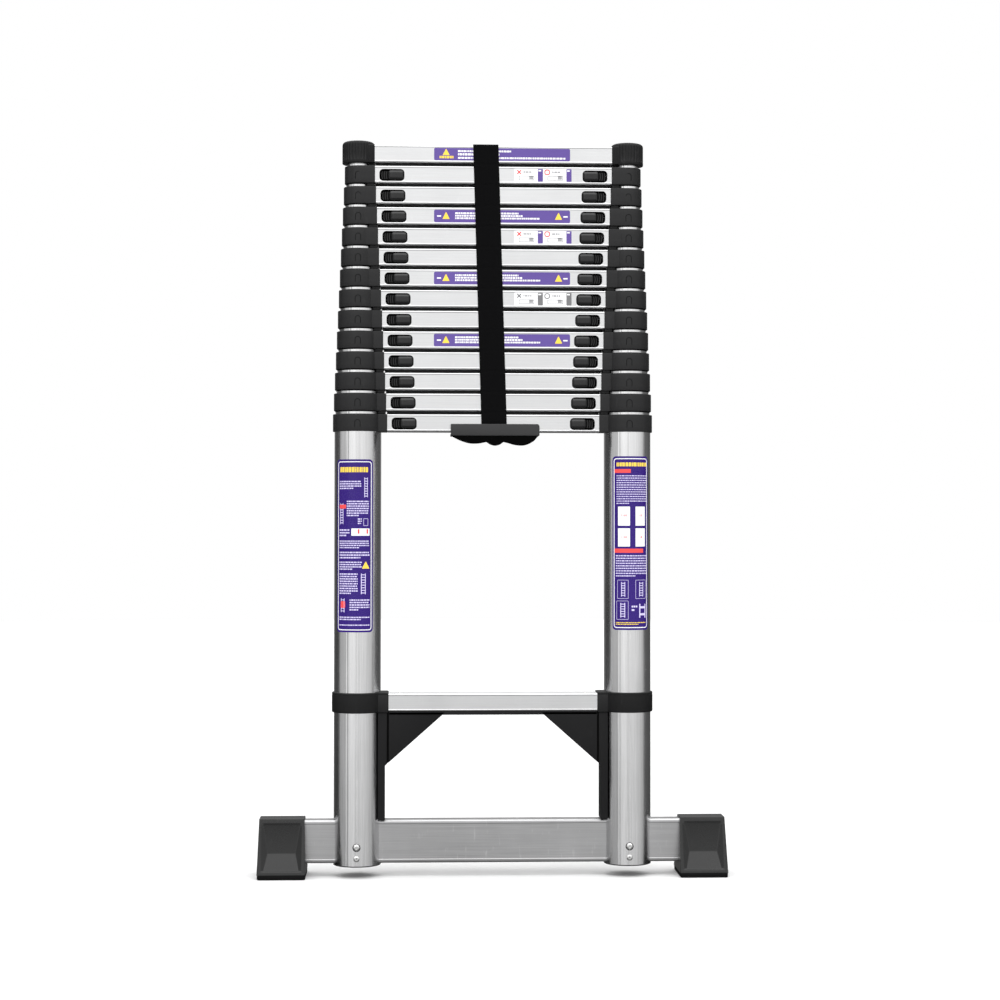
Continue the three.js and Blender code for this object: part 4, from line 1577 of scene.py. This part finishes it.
@dataclass
class Fixings:
    """Bolt, blind rivet and bottom ring of a base tube, and the rivets on the fixed rung."""

    bolt_z: float = 46.0
    rivet_z: float = 29.4

    def pieces(self) -> list[Piece]:
        """Fixings of both tubes and the fixed rung.

        Returns:
            The pieces.
        """
        made = []
        face = SIZES.largest_radius
        for side in Side:
            x = side.value * SIZES.tube_offset
            head = [(0.0, -2.2), (1.9, -2.2), (2.2, -3.0), (3.4, -2.9), (4.5, -2.2), (5.2, -0.9), (5.2, 0.0),
                    (3.0, 0.0), (3.0, face * 2 + 1.0), (0.0, face * 2 + 1.0)]
            front = (x, -face + 0.2, self.bolt_z)
            washer = [(3.1, 0.0), (5.9, 0.0), (5.9, 1.0), (3.1, 1.0)]
            nut = prism(circle(5.6, 6, (x, self.bolt_z)), face + 0.4, face + 3.0, Axis.Y, 0.4)
            made.append(Piece(f"bolt_{side.label}_set", "base", [PLATED, DARK_STEEL_AND_SHADE],
                              [turned(head, front, Axis.Y, 32), nut,
                               # The front washer takes the near-black finish: painted shade round the bolt
                               # head.
                               turned(washer, (x, -face - 0.15, self.bolt_z), Axis.Y, 32, 1),
                               turned(washer, (x, face - 0.7, self.bolt_z), Axis.Y, 32)],
                              [f"bolt_{side.label}"]))
            dome = [(1.3, 5.0), (1.3, -1.3), (2.2, -1.45), (3.4, -1.1), (4.3, -0.4), (4.6, 0.4), (2.4, 0.5),
                    (2.4, 5.0)]
            centre = (x, -face + 0.1, self.rivet_z)
            made.append(Piece(f"rivet_{side.label}_head", "base", [PLATED],
                              [turned(dome, centre, Axis.Y, 32)], [f"rivet_{side.label}"]))
            # Mandrel stub in the rivet's bore: a real part, its near-black partly painted shade in the hole.
            stub = [(0.0, 0.2), (0.9, 0.1), (1.28, 0.3), (1.28, 3.0), (0.0, 3.0)]
            made.append(Piece(f"rivet_{side.label}_stub", "base", [DARK_STEEL_AND_SHADE],
                              [turned(stub, centre, Axis.Y, 16)]))
            ring = [(31.0, 16.9), (34.6, 16.9), (35.3, 17.3), (35.3, 18.3), (34.6, 18.7), (33.7, 18.7),
                    (33.7, 24.0), (31.0, 24.0)]
            made.append(Piece(f"tube_end_ring_{side.label}", "base", [MOULDED],
                              [turned(ring, (x, 0.0, 0.0), sides=96)]))
        dome = [(0.0, 1.5), (1.1, 1.4), (2.2, 0.9), (3.0, 0.0), (3.0, -0.3), (0.0, -0.3)]
        shells = [turned(dome, (x, -11.0, 272.0), Axis.Z, 28) for x in (-139.0, 138.0)]
        made.append(Piece("fixed_rung_rivets", "base", [PLATED], shells))
        return made


class Ink(Enum):
    """Place of each film colour among a label's finishes."""

    BASE = 0
    WHITE = 1
    TEXT = 2
    ACCENT = 3
    SIGNAL = 4


@dataclass
class Label:
    """Film label of plain generic marks on a flat or round face, laid out in shares of its own size.

    Shares run from the left and from the top. place maps (across, height, lift) to space.
    """

    name: str
    body: str
    place: Place
    across: tuple[float, float]
    height: tuple[float, float]
    finishes: Sequence[Finish]
    step: float = 2.6
    shells: list[Shell] = field(default_factory=list)

    def patch(self, x: tuple[float, float], y: tuple[float, float], ink: Ink, level: int,
              radius: float = 0.0, hole: float = 0.0, taper: float = 0.0) -> None:
        """Adds a thin patch; its corners are rounded by scaling the offset past a corner's centre.

        Args:
            x: Start and end across, in shares.
            y: Start and end from the top, in shares.
            ink: Film colour.
            level: Layer, 0 next to the metal.
            radius: Corner radius in millimetres.
            hole: Width of the line left round an open middle; 0 leaves no hole.
            taper: Share of the width lost between the bottom and the top.
        """
        wide, tall = self.across[1] - self.across[0], self.height[1] - self.height[0]
        x0, x1 = self.across[0] + wide * x[0], self.across[0] + wide * x[1]
        z0, z1 = self.height[1] - tall * y[1], self.height[1] - tall * y[0]
        marks = [0.0, radius * 0.3, radius * 0.6, radius, hole]
        u = self._lines(x0, x1, marks, self.step)
        v = self._lines(z0, z1, marks, 40.0)
        s, t = np.meshgrid(u, v)
        keep = np.ones((len(v) - 1, len(u) - 1), bool)
        if hole > 0.0:
            mid_u, mid_v = (u[1:] + u[:-1]) / 2, (v[1:] + v[:-1]) / 2
            inside_u = (mid_u > x0 + hole) & (mid_u < x1 - hole)
            inside_v = (mid_v > z0 + hole) & (mid_v < z1 - hole)
            keep = ~(inside_v[:, None] & inside_u[None, :])
        if radius > 0.0:
            middle = np.array([(x0 + x1) / 2, (z0 + z1) / 2])
            half = np.array([(x1 - x0) / 2, (z1 - z0) / 2]) - radius
            offset = np.stack([s, t], -1) - middle
            past = offset - np.clip(offset, -half, half)
            largest, length = np.abs(past).max(-1), np.maximum(np.linalg.norm(past, axis=-1), 1e-9)
            scale = np.where(largest > 0, largest / length, 1.0)[..., None]
            bent = offset - past + past * scale + middle
            s, t = bent[..., 0], bent[..., 1]
        s = (x0 + x1) / 2 + (s - (x0 + x1) / 2) * (1.0 - taper * (t - z0) / (z1 - z0))
        low = 0.02 + 0.06 * level
        self.shells.append(walled(self.place(s, t, low + 0.07), self.place(s, t, low), keep, False,
                                  ink.value))

    def _lines(self, low: float, high: float, marks: Sequence[float], step: float) -> Grid:
        """Grid lines of a span: its ends, marks in from both ends, and even lines between."""
        count = max(2, int((high - low) / step) + 1)
        sets = [np.linspace(low, high, count)]
        sets += [np.array([low + m, high - m]) for m in marks if m < (high - low) / 2]
        return np.unique(np.round(np.concatenate(sets), 3))

    def rows(self, x: tuple[float, float], y: tuple[float, float], lines: int, ink: Ink = Ink.TEXT,
             seed: int = 1, fill: float = 0.52) -> None:
        """Adds rows of short dashes of uneven length, the last row shorter.

        Args:
            x: Start and end across, in shares.
            y: Start and end from the top, in shares.
            lines: Number of rows.
            ink: Film colour.
            seed: Seed of the dash lengths.
            fill: Share of each row's pitch that a dash is tall.
        """
        chance = np.random.RandomState(seed)
        pitch = (y[1] - y[0]) / lines
        wide = self.across[1] - self.across[0]
        for k in range(lines):
            at = x[0]
            end = x[1] if k + 1 < lines or lines == 1 else x[0] + (x[1] - x[0]) * chance.uniform(0.35, 0.8)
            while at < end - 0.9 / wide:
                long = chance.uniform(1.2, 4.6) / wide
                stop = min(end, at + long)
                top = y[0] + k * pitch
                self.patch((at, stop), (top, top + pitch * fill), ink, 1)
                at = stop + 0.75 / wide

    def ladder_mark(self, x: tuple[float, float], y: tuple[float, float], rungs: int) -> None:
        """Adds two uprights and some rungs.

        Args:
            x: Start and end across, in shares.
            y: Start and end from the top, in shares.
            rungs: Number of rungs.
        """
        bar = (x[1] - x[0]) * 0.16
        self.patch((x[0], x[0] + bar), y, Ink.TEXT, 1)
        self.patch((x[1] - bar, x[1]), y, Ink.TEXT, 1)
        pitch = (y[1] - y[0]) / rungs
        for k in range(rungs):
            top = y[0] + (k + 0.35) * pitch
            self.patch((x[0] + bar, x[1] - bar), (top, top + pitch * 0.3), Ink.TEXT, 1)

    def piece(self) -> Piece:
        """The label as one piece."""
        return Piece(self.name, self.body, self.finishes, self.shells)


VIOLET_SET = (VIOLET_DEEP, FILM_WHITE, FILM_LILAC, FILM_YELLOW, FILM_RED)
SOFT_SET = (VIOLET_SOFT, FILM_WHITE, FILM_WHITE, FILM_YELLOW, FILM_RED)
PALE_SET = (FILM_WHITE, VIOLET_SOFT, FILM_PALE, FILM_YELLOW, FILM_RED)
GREY_SET = (FILM_WHITE, FILM_GREY, FILM_PALE, FILM_GREY, FILM_GREY)


@dataclass
class LabelSet:
    """All labels: long and short ones on the stacked rungs, and one on each base tube."""

    long_rows: tuple[int, ...] = (1, 4, 7, 10)
    short_rows: tuple[int, ...] = (2, 5, 8)
    face: float = -19.75

    def _on_rung(self, row: int) -> Place:
        """Place on a rung's front face: (across, face - lift, height)."""

        def place(across: Grid, height: Grid, lift: float) -> Grid:
            """Point on the face."""
            return np.stack([across, np.full_like(across, self.face - lift), height + SIZES.bottom(row)], -1)

        return place

    def _on_tube(self, side: Side) -> Place:
        """Place round a base tube: across is arc length from the middle of the tube's front."""
        x = side.value * SIZES.tube_offset

        def place(across: Grid, height: Grid, lift: float) -> Grid:
            """Point on the tube."""
            turn = across / SIZES.largest_radius
            radius = SIZES.largest_radius + lift
            return np.stack([x + radius * np.sin(turn), -radius * np.cos(turn), height], -1)

        return place

    def _long(self, row: int) -> Label:
        """Long violet label with an accent block at its ends and three rows of dashes."""
        label = Label(f"label_long_{row:02d}", SIZES.body(row), self._on_rung(row), (-89.2, 114.8),
                      (3.6, 22.4), SOFT_SET, 30.0)
        label.patch((0, 1), (0, 1), Ink.BASE, 0, 2.2)
        if row == 1:
            label.patch((0.062, 0.114), (0.1, 0.58), Ink.ACCENT, 1, 0.9, taper=0.92)
            label.rows((0.04, 0.142), (0.64, 0.86), 1, Ink.ACCENT, 5, 0.9)
            label.rows((0.175, 0.57), (0.18, 0.36), 1, Ink.WHITE, 6, 0.8)
            label.rows((0.175, 0.48), (0.42, 0.64), 1, Ink.WHITE, 7, 0.8)
            label.rows((0.175, 0.965), (0.72, 0.9), 1, Ink.WHITE, 8, 0.8)
            return label
        for start in (0.065, 0.892):
            label.patch((start - 0.004, start + 0.05), (0.2, 0.74), Ink.ACCENT, 1, 0.9, taper=0.92)
        label.patch((0.022, 0.052), (0.45, 0.56), Ink.WHITE, 1)
        label.patch((0.95, 0.982), (0.45, 0.56), Ink.WHITE, 1)
        for k, end in enumerate((0.62, 0.65, 0.78)):
            label.rows((0.155, end), (0.2 + 0.2 * k, 0.36 + 0.2 * k), 1, Ink.WHITE, 20 + 3 * row + k, 0.85)
        return label

    def _short(self, row: int) -> Label:
        """Short pale label: two blocks, a cross and a ring, an outlined bar and dashes."""
        finishes = GREY_SET if row == 8 else PALE_SET
        label = Label(f"label_short_{row:02d}", SIZES.body(row), self._on_rung(row), (31.0, 117.0),
                      (3.2, 23.0), finishes, 30.0)
        label.patch((0, 1), (0, 1), Ink.BASE, 0, 1.8)
        for start in (0.0, 0.5):
            label.patch((start + 0.41, start + 0.5), (0.02, 0.98), Ink.WHITE, 1, 1.0)
            label.patch((start + 0.42, start + 0.47), (0.1, 0.2), Ink.BASE, 2)
            label.rows((start + 0.16, start + 0.31), (0.2, 0.34), 1, Ink.TEXT, row + 40, 0.8)
            label.patch((start + 0.08, start + 0.35), (0.54, 0.88), Ink.TEXT, 1, 0.8, 0.9)
            label.patch((start + 0.26, start + 0.33), (0.55, 0.8), Ink.TEXT, 1)
        label.patch((0.525, 0.625), (0.05, 0.48), Ink.SIGNAL, 1, 3.8, 1.4)
        self._cross(label, 0.085, 0.26)
        return label

    def _cross(self, label: Label, x: float, y: float) -> None:
        """Two crossed strokes, each a thin slanted patch.

        Args:
            label: Label that takes them.
            x: Middle across, as a share.
            y: Middle from the top, as a share.
        """
        wide, tall = label.across[1] - label.across[0], label.height[1] - label.height[0]
        cx, cz = label.across[0] + wide * x, label.height[1] - tall * y
        along = np.linspace(-4.0, 4.0, 3)
        for way in (-1, 1):
            s, t = np.meshgrid(along, np.array([-0.85, 0.85]))
            across = cx + (s - way * t) * math.sqrt(0.5)
            height = cz + (way * s + t) * math.sqrt(0.5)
            keep = np.ones((1, 2), bool)
            label.shells.append(walled(label.place(across, height, 0.15 + 0.01 * way),
                                       label.place(across, height, 0.09), keep, False, Ink.SIGNAL.value))

    def _tube_base(self, side: Side) -> Label:
        """Violet sheet of a tube label with its white line."""
        middle = math.radians(5.2 if side is Side.RIGHT else -8.5) * SIZES.largest_radius
        half = math.radians(49.5) * SIZES.largest_radius
        low, high = (367.0, 626.0) if side is Side.RIGHT else (364.0, 620.5)
        label = Label(f"label_tube_{side.label}", "base", self._on_tube(side), (middle - half, middle + half),
                      (low, high), VIOLET_SET, 2.4)
        label.patch((0, 1), (0, 1), Ink.BASE, 0, 6.0)
        inner = Label(label.name, "base", label.place, (middle - half + 2.4, middle + half - 2.4),
                      (low + 3.0, high - 3.0), VIOLET_SET, 2.4, label.shells)
        inner.patch((0, 1), (0, 1), Ink.WHITE, 1, 4.6, 1.3)
        return label

    def _tube_left(self) -> Label:
        """Left tube's label: a title bar, paragraphs, small ladder marks and coloured blocks."""
        label = self._tube_base(Side.LEFT)
        label.rows((0.12, 0.86), (0.045, 0.082), 1, Ink.ACCENT, 3, 0.8)
        label.ladder_mark((0.76, 0.85), (0.105, 0.22), 8)
        label.ladder_mark((0.12, 0.22), (0.255, 0.375), 8)
        label.patch((0.1, 0.3), (0.262, 0.285), Ink.SIGNAL, 2, 1.2)
        label.patch((0.74, 0.86), (0.342, 0.385), Ink.TEXT, 1, 0.8, 0.6)
        label.patch((0.44, 0.9), (0.4, 0.442), Ink.WHITE, 1, 0.8)
        label.patch((0.6, 0.64), (0.404, 0.43), Ink.SIGNAL, 2)
        label.patch((0.82, 0.86), (0.404, 0.43), Ink.SIGNAL, 2)
        label.patch((0.7, 0.9), (0.592, 0.632), Ink.ACCENT, 1, 0.9, taper=0.92)
        label.ladder_mark((0.68, 0.8), (0.66, 0.78), 8)
        label.patch((0.14, 0.28), (0.82, 0.86), Ink.SIGNAL, 1, 1.6)
        label.ladder_mark((0.15, 0.26), (0.805, 0.885), 5)
        for number, (x, y, lines) in enumerate((
                ((0.1, 0.68), (0.125, 0.178), 4), ((0.32, 0.88), (0.24, 0.335), 7),
                ((0.6, 0.7), (0.342, 0.38), 3), ((0.1, 0.4), (0.405, 0.452), 3),
                ((0.1, 0.9), (0.47, 0.52), 4), ((0.1, 0.9), (0.535, 0.58), 3),
                ((0.1, 0.7), (0.592, 0.645), 4), ((0.1, 0.6), (0.66, 0.785), 9),
                ((0.4, 0.9), (0.81, 0.88), 5), ((0.1, 0.9), (0.91, 0.935), 2),
                ((0.1, 0.9), (0.955, 0.967), 1))):
            label.rows(x, y, lines, seed=11 + number)
        return label

    def _tube_right(self) -> Label:
        """Right tube's label: a title bar, dense paragraphs, four white panels and framed marks."""
        label = self._tube_base(Side.RIGHT)
        label.rows((0.12, 0.94), (0.036, 0.062), 1, Ink.ACCENT, 4, 0.85)
        label.patch((0.06, 0.48), (0.074, 0.096), Ink.SIGNAL, 1, 0.8)
        label.rows((0.12, 0.94), (0.11, 0.282), 13, seed=31, fill=0.42)
        for x in ((0.16, 0.46), (0.6, 0.88)):
            for k, y in enumerate(((0.29, 0.4), (0.415, 0.52))):
                label.patch(x, y, Ink.WHITE, 1, 0.6)
                title, text = (y[0] + 0.045, y[0] + 0.06), (y[0] + 0.07, y[1] - 0.015)
                label.rows((x[0] + 0.09, x[1] - 0.08), title, 1, Ink.SIGNAL, 50 + k, 0.8)
                label.rows((x[0] + 0.06, x[1] - 0.1), text, 2, Ink.TEXT, 60 + k, 0.4)
        label.patch((0.06, 0.82), (0.532, 0.556), Ink.SIGNAL, 1, 0.8)
        label.rows((0.1, 0.93), (0.57, 0.7), 9, seed=32, fill=0.45)
        for x, y in (((0.14, 0.42), (0.712, 0.82)), ((0.6, 0.9), (0.712, 0.82)),
                     ((0.12, 0.42), (0.832, 0.94))):
            label.patch(x, y, Ink.TEXT, 1, 1.0, 0.5)
            label.ladder_mark((x[0] + 0.1, x[1] - 0.08), (y[0] + 0.012, y[1] - 0.012), 6)
        label.rows((0.5, 0.66), (0.86, 0.9), 2, seed=33, fill=0.5)
        label.ladder_mark((0.7, 0.9), (0.85, 0.93), 2)
        label.rows((0.1, 0.9), (0.955, 0.974), 2, Ink.ACCENT, 34)
        return label

    def pieces(self) -> list[Piece]:
        """Every label.

        Returns:
            The pieces.
        """
        labels = [self._long(row) for row in self.long_rows] + [self._short(row) for row in self.short_rows]
        labels += [self._tube_left(), self._tube_right()]
        return [label.piece() for label in labels]


@dataclass
class Stack:
    """Moving rows and the base's own tubes, rungs and collars."""

    fixed_z: float = 246.0
    tube_below: float = 354.0
    tube_top: float = 25.0

    def row_pieces(self, row: int) -> list[Piece]:
        """Tubes, collars, rung, gap strip, trays and buttons of a moving row.

        Args:
            row: Row number, 1 to 13.

        Returns:
            The pieces.
        """
        z, body, node = SIZES.bottom(row), SIZES.body(row), f"section_{row:02d}"
        made = []
        for side in Side:
            tube = Tube(side.value * SIZES.tube_offset, SIZES.radius(row), z - self.tube_below,
                        z + self.tube_top, slots=LockButton(side, row).bores() if row > 1 else ())
            made.append(Piece(f"tube_{row:02d}_{side.label}", body, [DRAWN_TUBE], [tube.shell()], [node]))
            if row > 1:
                made += self._collar(row, side, node)
                made += self._lock(row, side)
        half = SIZES.tube_offset - (SIZES.reach(row) if row > 1 else 24.6)
        slots = [LockButton(side, row).opening() for side in Side] if row > 1 else []
        rung = HollowBar((-half, half), SIZES.rung_depth, (z, z + SIZES.rung_height), SIZES.rung_wall,
                         slots=slots)
        made.append(Piece(f"rung_{row:02d}_bar", body, [DRAWN_RUNG], [rung.shell()], [node]))
        # Black strip under the rung, set back from its front, that makes the gap between rungs read black.
        gap_strip = block((-half + 1.0, half - 1.0), (-4.0, 4.0), (z - 4.4, z + 0.6), 0.4, Axis.X)
        made.append(Piece(f"rung_spacer_{row:02d}", body, [MOULDED], [gap_strip], [node]))
        if row == 1:
            made += self._tops(body)
        return made

    def _tops(self, body: str) -> list[Piece]:
        """Fluted caps and the end plates of the top rung.

        Args:
            body: Body of the top row.

        Returns:
            The pieces.
        """
        made = []
        z = SIZES.bottom(1)
        for side in Side:
            made.append(Piece(f"end_cap_{side.label}", body, [BAND_BLACK],
                              [EndCap(side).shell(), *self._cheek(side, z)],
                              [f"top_cap_{side.label}"], sharp=50.0))
            x = side.value * (SIZES.tube_offset - 24.6)
            plate = block((x - side.value * 1.4, x + side.value * 0.1), (-19.6, 19.6),
                          (z + 0.4, z + SIZES.rung_height - 0.4), 0.5, Axis.X)
            inside = side.value * (SIZES.tube_offset - SIZES.radius(1) + 1.5)
            link = block((x - side.value * 2.0, inside), (-10.0, 10.0), (z + 5.0, z + 21.0), 1.0, Axis.X)
            made.append(Piece(f"rung_end_{side.label}", body, [DRAWN_RUNG], [plate, link], ["section_01"]))
        return made

    def _cheek(self, side: Side, z: float) -> list[Shell]:
        """Square inner side of a cap, flush with the top rung, with upright ribs on its front.

        Args:
            side: Which cap.
            z: Height of the top rung's underside.

        Returns:
            The skins.
        """
        start = side.value * (SIZES.tube_offset - 24.65)
        shells = [block((start, start + side.value * 16.0), (-19.7, 19.7), (z - 0.2, z + 27.2), 1.2)]
        facing = np.tile([0.0, -1.0, 0.0], (2, 1))
        for step in (1.5, 4.0, 6.5, 9.0):
            x = start + side.value * step
            shells.append(rod(np.array([(x, -19.65, z + 1.5), (x, -19.65, z + 25.0)]), facing, 0.6))
        return shells

    def _collar(self, row: int, side: Side, node: str) -> list[Piece]:
        """Collar of a row's tube.

        Args:
            row: Row number.
            side: Which tube.
            node: Frame node it stands for.

        Returns:
            The piece.
        """
        z = SIZES.bottom(row)
        radius = SIZES.radius(row)
        collar = Collar(side, radius + SIZES.collar_wall, SIZES.reach(row), z, z + SIZES.rung_height,
                        radius + 0.02, radius - SIZES.radius_step + 0.5, pin_z=LockButton(side, row).slot_z)
        shells = collar.shells() + [collar.arch()]
        if row < SIZES.rows:
            # The ring under the collar is painted shade in the gap between collars.
            shells += [collar.lug(), collar.painted_shade_ring()]
        return [Piece(f"collar_{row:02d}_{side.label}_ring", SIZES.body(row), [MOULDED, SHADOW], shells,
                      [node])]

    def _lock(self, row: int, side: Side) -> list[Piece]:
        """Tray and button of one end of a row.

        Args:
            row: Row number.
            side: Which end.

        Returns:
            The pieces.
        """
        lock = LockButton(side, row)
        tag = f"{row:02d}_{side.label}"
        return [
            Piece(f"lock_tray_{tag}", SIZES.body(row), [SHADOW], lock.tray()),
            Piece(f"lock_pad_{tag}", f"button_{tag}", [GLOSSY, SHADOW], lock.pad(), [f"lock_button_{tag}"]),
        ]

    def base_pieces(self) -> list[Piece]:
        """Base tubes, lowest stacked rung, fixed rung, their collars and the stabiliser bar.

        Returns:
            The pieces.
        """
        made = []
        top = SIZES.lowest_rung + self.tube_top
        slot = math.degrees(math.asin(12.8 / SIZES.largest_radius))
        for side in Side:
            tube = Tube(side.value * SIZES.tube_offset, SIZES.largest_radius, 18.0, top,
                        slots=[(-90.0, slot, 19.7, 84.3), (90.0, slot, 19.7, 84.3),
                               *LockButton(side, SIZES.rows).bores()])
            made.append(Piece(f"base_tube_{side.label}_wall", "base", [DRAWN_TUBE], [tube.shell()],
                              [f"base_tube_{side.label}"]))
            made += self._collar(SIZES.rows, side, f"collar_14_{side.label}")
            made += self._lock(SIZES.rows, side)
            fixed = Collar(side, 38.0, 46.8, self.fixed_z - 2.0, self.fixed_z + SIZES.rung_height + 2.0,
                           SIZES.largest_radius + 0.02, SIZES.largest_radius + 0.02, 1.6, 0.35)
            made.append(Piece(f"fixed_collar_{side.label}", "base", [BAND_BLACK], fixed.shells(),
                              [f"fixed_rung_collar_{side.label}"]))
        half = SIZES.tube_offset - SIZES.reach(SIZES.rows)
        z = SIZES.lowest_rung
        rung = HollowBar((-half, half), SIZES.rung_depth, (z, z + SIZES.rung_height), SIZES.rung_wall,
                         slots=[LockButton(side, SIZES.rows).opening() for side in Side])
        made.append(Piece("rung_14_bar", "base", [DRAWN_RUNG], [rung.shell()], ["rung_14"]))
        half = SIZES.tube_offset - 46.8
        fixed_rung = HollowBar((-half, half), SIZES.rung_depth,
                               (self.fixed_z, self.fixed_z + SIZES.rung_height), SIZES.rung_wall)
        made.append(Piece("fixed_rung_bar", "base", [DRAWN_RUNG], [fixed_rung.shell()], ["fixed_rung"]))
        bar = HollowBar((-330.0, 330.0), 25.0, (20.0, 84.0), 2.0, edge=3.0, sink=0.3, margin=5.5,
                        rib_depth=0.0)
        made.append(Piece("stabiliser_bar_tube", "base", [DRAWN_BAR], [bar.shell()], ["stabiliser_bar"]))
        return made


@dataclass
class Studio:
    """Pale floor, soft surroundings and the camera."""

    camera_at: tuple[float, float, float] = (-0.1304, -3.211, 0.5223)
    yaw: float = 0.04396
    pitch: float = 0.02187
    roll: float = -0.0009
    lens: float = 76.98
    shift: float = -0.02115
    sensor: float = 36.0

    def camera(self) -> None:
        """Camera looking along (sin yaw cos pitch, cos yaw cos pitch, sin pitch)."""
        data = bpy.data.cameras.new("view")
        data.lens, data.sensor_width, data.clip_end = self.lens, self.sensor, 60.0
        data.shift_y = self.shift
        made = bpy.data.objects.new("view", data)
        bpy.context.scene.collection.objects.link(made)
        made.location = self.camera_at
        made.rotation_mode = "XYZ"
        made.rotation_euler = (math.pi / 2 + self.pitch, self.roll, -self.yaw)
        bpy.context.scene.camera = made

    def surroundings(self) -> None:
        """Surroundings: plain white seen directly; otherwise a bright front that darkens behind and below."""
        world = bpy.data.worlds.new("studio")
        bpy.context.scene.world = world
        world.use_nodes = True
        world.node_tree.nodes.clear()
        graph = Graph(world.node_tree)
        place = graph.add("TexCoord")
        parts = graph.add("SeparateXYZ")
        graph.link(place.outputs["Generated"], parts.inputs["Vector"])
        x, y, z = parts.outputs
        turn = graph.math("ARCTAN2", x, graph.math("MULTIPLY", y, -1.0))
        around = self._shade(graph, turn, (-math.pi, math.pi), (
            (0.0, 0.24), (0.07, 0.22), (0.1, 0.06), (0.22, 0.05), (0.245, 0.42), (0.345, 0.5), (0.36, 0.3),
            (0.372, 0.85), (0.46, 0.95), (0.5, 0.74), (0.56, 0.84), (0.65, 0.68), (0.72, 0.5),
            (0.742, 0.12), (0.9, 0.07), (0.93, 0.22), (1.0, 0.24)))
        rise = self._shade(graph, z, (-1.0, 1.0), (
            (0.0, 0.25), (0.38, 0.34), (0.42, 0.62), (0.438, 0.88), (0.456, 0.86), (0.5, 1.12),
            (0.58, 1.24), (0.75, 1.25), (1.0, 1.25)))
        above = self._shade(graph, z, (0.0, 1.0), ((0.4, 0.0), (0.6, 0.95), (1.0, 1.5)))
        soft = graph.add("Background")
        graph.link(graph.math("MULTIPLY_ADD", around, rise, above), soft.inputs["Color"])
        plain = graph.add("Background")
        plain.inputs["Color"].default_value = (1.0, 1.0, 1.0, 1.0)
        path = graph.add("LightPath")
        choose = graph.add("MixShader")
        graph.link(path.outputs["Is Camera Ray"], choose.inputs["Fac"])
        graph.link(soft.outputs[0], choose.inputs[1])
        graph.link(plain.outputs[0], choose.inputs[2])
        graph.link(choose.outputs[0], graph.add("OutputWorld").inputs["Surface"])

    def _shade(self, graph: Graph, value: Socket, span: tuple[float, float],
               stops: Sequence[tuple[float, float]]) -> Socket:
        """Brightness over a span of a value.

        Args:
            graph: Graph of the world.
            value: Socket to read.
            span: Values at the two ends.
            stops: Place and brightness of each stop.

        Returns:
            The brightness, as a grey.
        """
        return graph.ramp(graph.spread(value, span), [(at, (bright,) * 3) for at, bright in stops])

    def lights(self) -> None:
        """Two large soft panels: one above the front and one from the left."""
        for name, place, size, power, aim in (
            ("panel_top", (0.6, -2.2, 3.2), 2.4, 26.0, (0.0, 0.0, 0.6)),
            ("panel_left", (-2.6, -2.4, 1.6), 1.8, 10.0, (0.0, 0.0, 0.6)),
        ):
            data = bpy.data.lights.new(name, "AREA")
            data.shape, data.size, data.energy = "SQUARE", size, power
            made = bpy.data.objects.new(name, data)
            bpy.context.scene.collection.objects.link(made)
            made.location = place
            made.visible_glossy = False
            way = np.array(aim) - np.array(place)
            flat = math.hypot(way[0], way[1])
            made.rotation_euler = (math.atan2(flat, -way[2]), 0.0, math.atan2(-way[0], way[1]))

    def floor(self) -> None:
        """Wide pale floor whose rim rises in a slow curve: z = rise * eased((r - near) / (far - near))."""
        angle = np.linspace(0.0, 2 * math.pi, 64, endpoint=False)
        radius = np.concatenate([[0.0], np.linspace(400.0, 6000.0, 24)])
        height = 120.0 * eased((radius - 4000.0) / 2000.0) - 0.2
        rings = np.stack([radius[:, None] * np.cos(angle), radius[:, None] * np.sin(angle),
                          np.broadcast_to(height[:, None], (len(radius), len(angle)))], -1)
        shell = Shell()
        shell.grid(rings, wrap=True)
        points, faces = shell.welded()
        mesh = bpy.data.meshes.new("floor")
        mesh.from_pydata(points * MM, [], faces)
        mesh.polygons.foreach_set("use_smooth", [True] * len(mesh.polygons))
        mesh.materials.append(PALE_FLOOR.material())
        made = bpy.data.objects.new("floor", mesh)
        bpy.context.scene.collection.objects.link(made)
        made.visible_glossy = False

    def build(self) -> None:
        """Sets up camera, surroundings, lights, floor and tone."""
        self.camera()
        self.surroundings()
        self.lights()
        self.floor()
        bpy.context.scene.view_settings.view_transform = "Standard"
        bpy.context.scene.view_settings.look = "None"


def main() -> None:
    """Builds every sub-assembly round the frame."""
    logging.basicConfig(level=logging.INFO, format="%(message)s", force=True)
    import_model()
    stack = Stack()
    pieces = stack.base_pieces()
    for row in range(SIZES.rows - 1, 0, -1):
        pieces += stack.row_pieces(row)
    for part in (Strap(), CarryHandle(), Brace(), Fixings(), LabelSet(), Foot(Side.LEFT), Foot(Side.RIGHT)):
        pieces += part.pieces()
    for piece in pieces:
        piece.build()
    Studio().build()


if __name__ == "__main__":
    main()
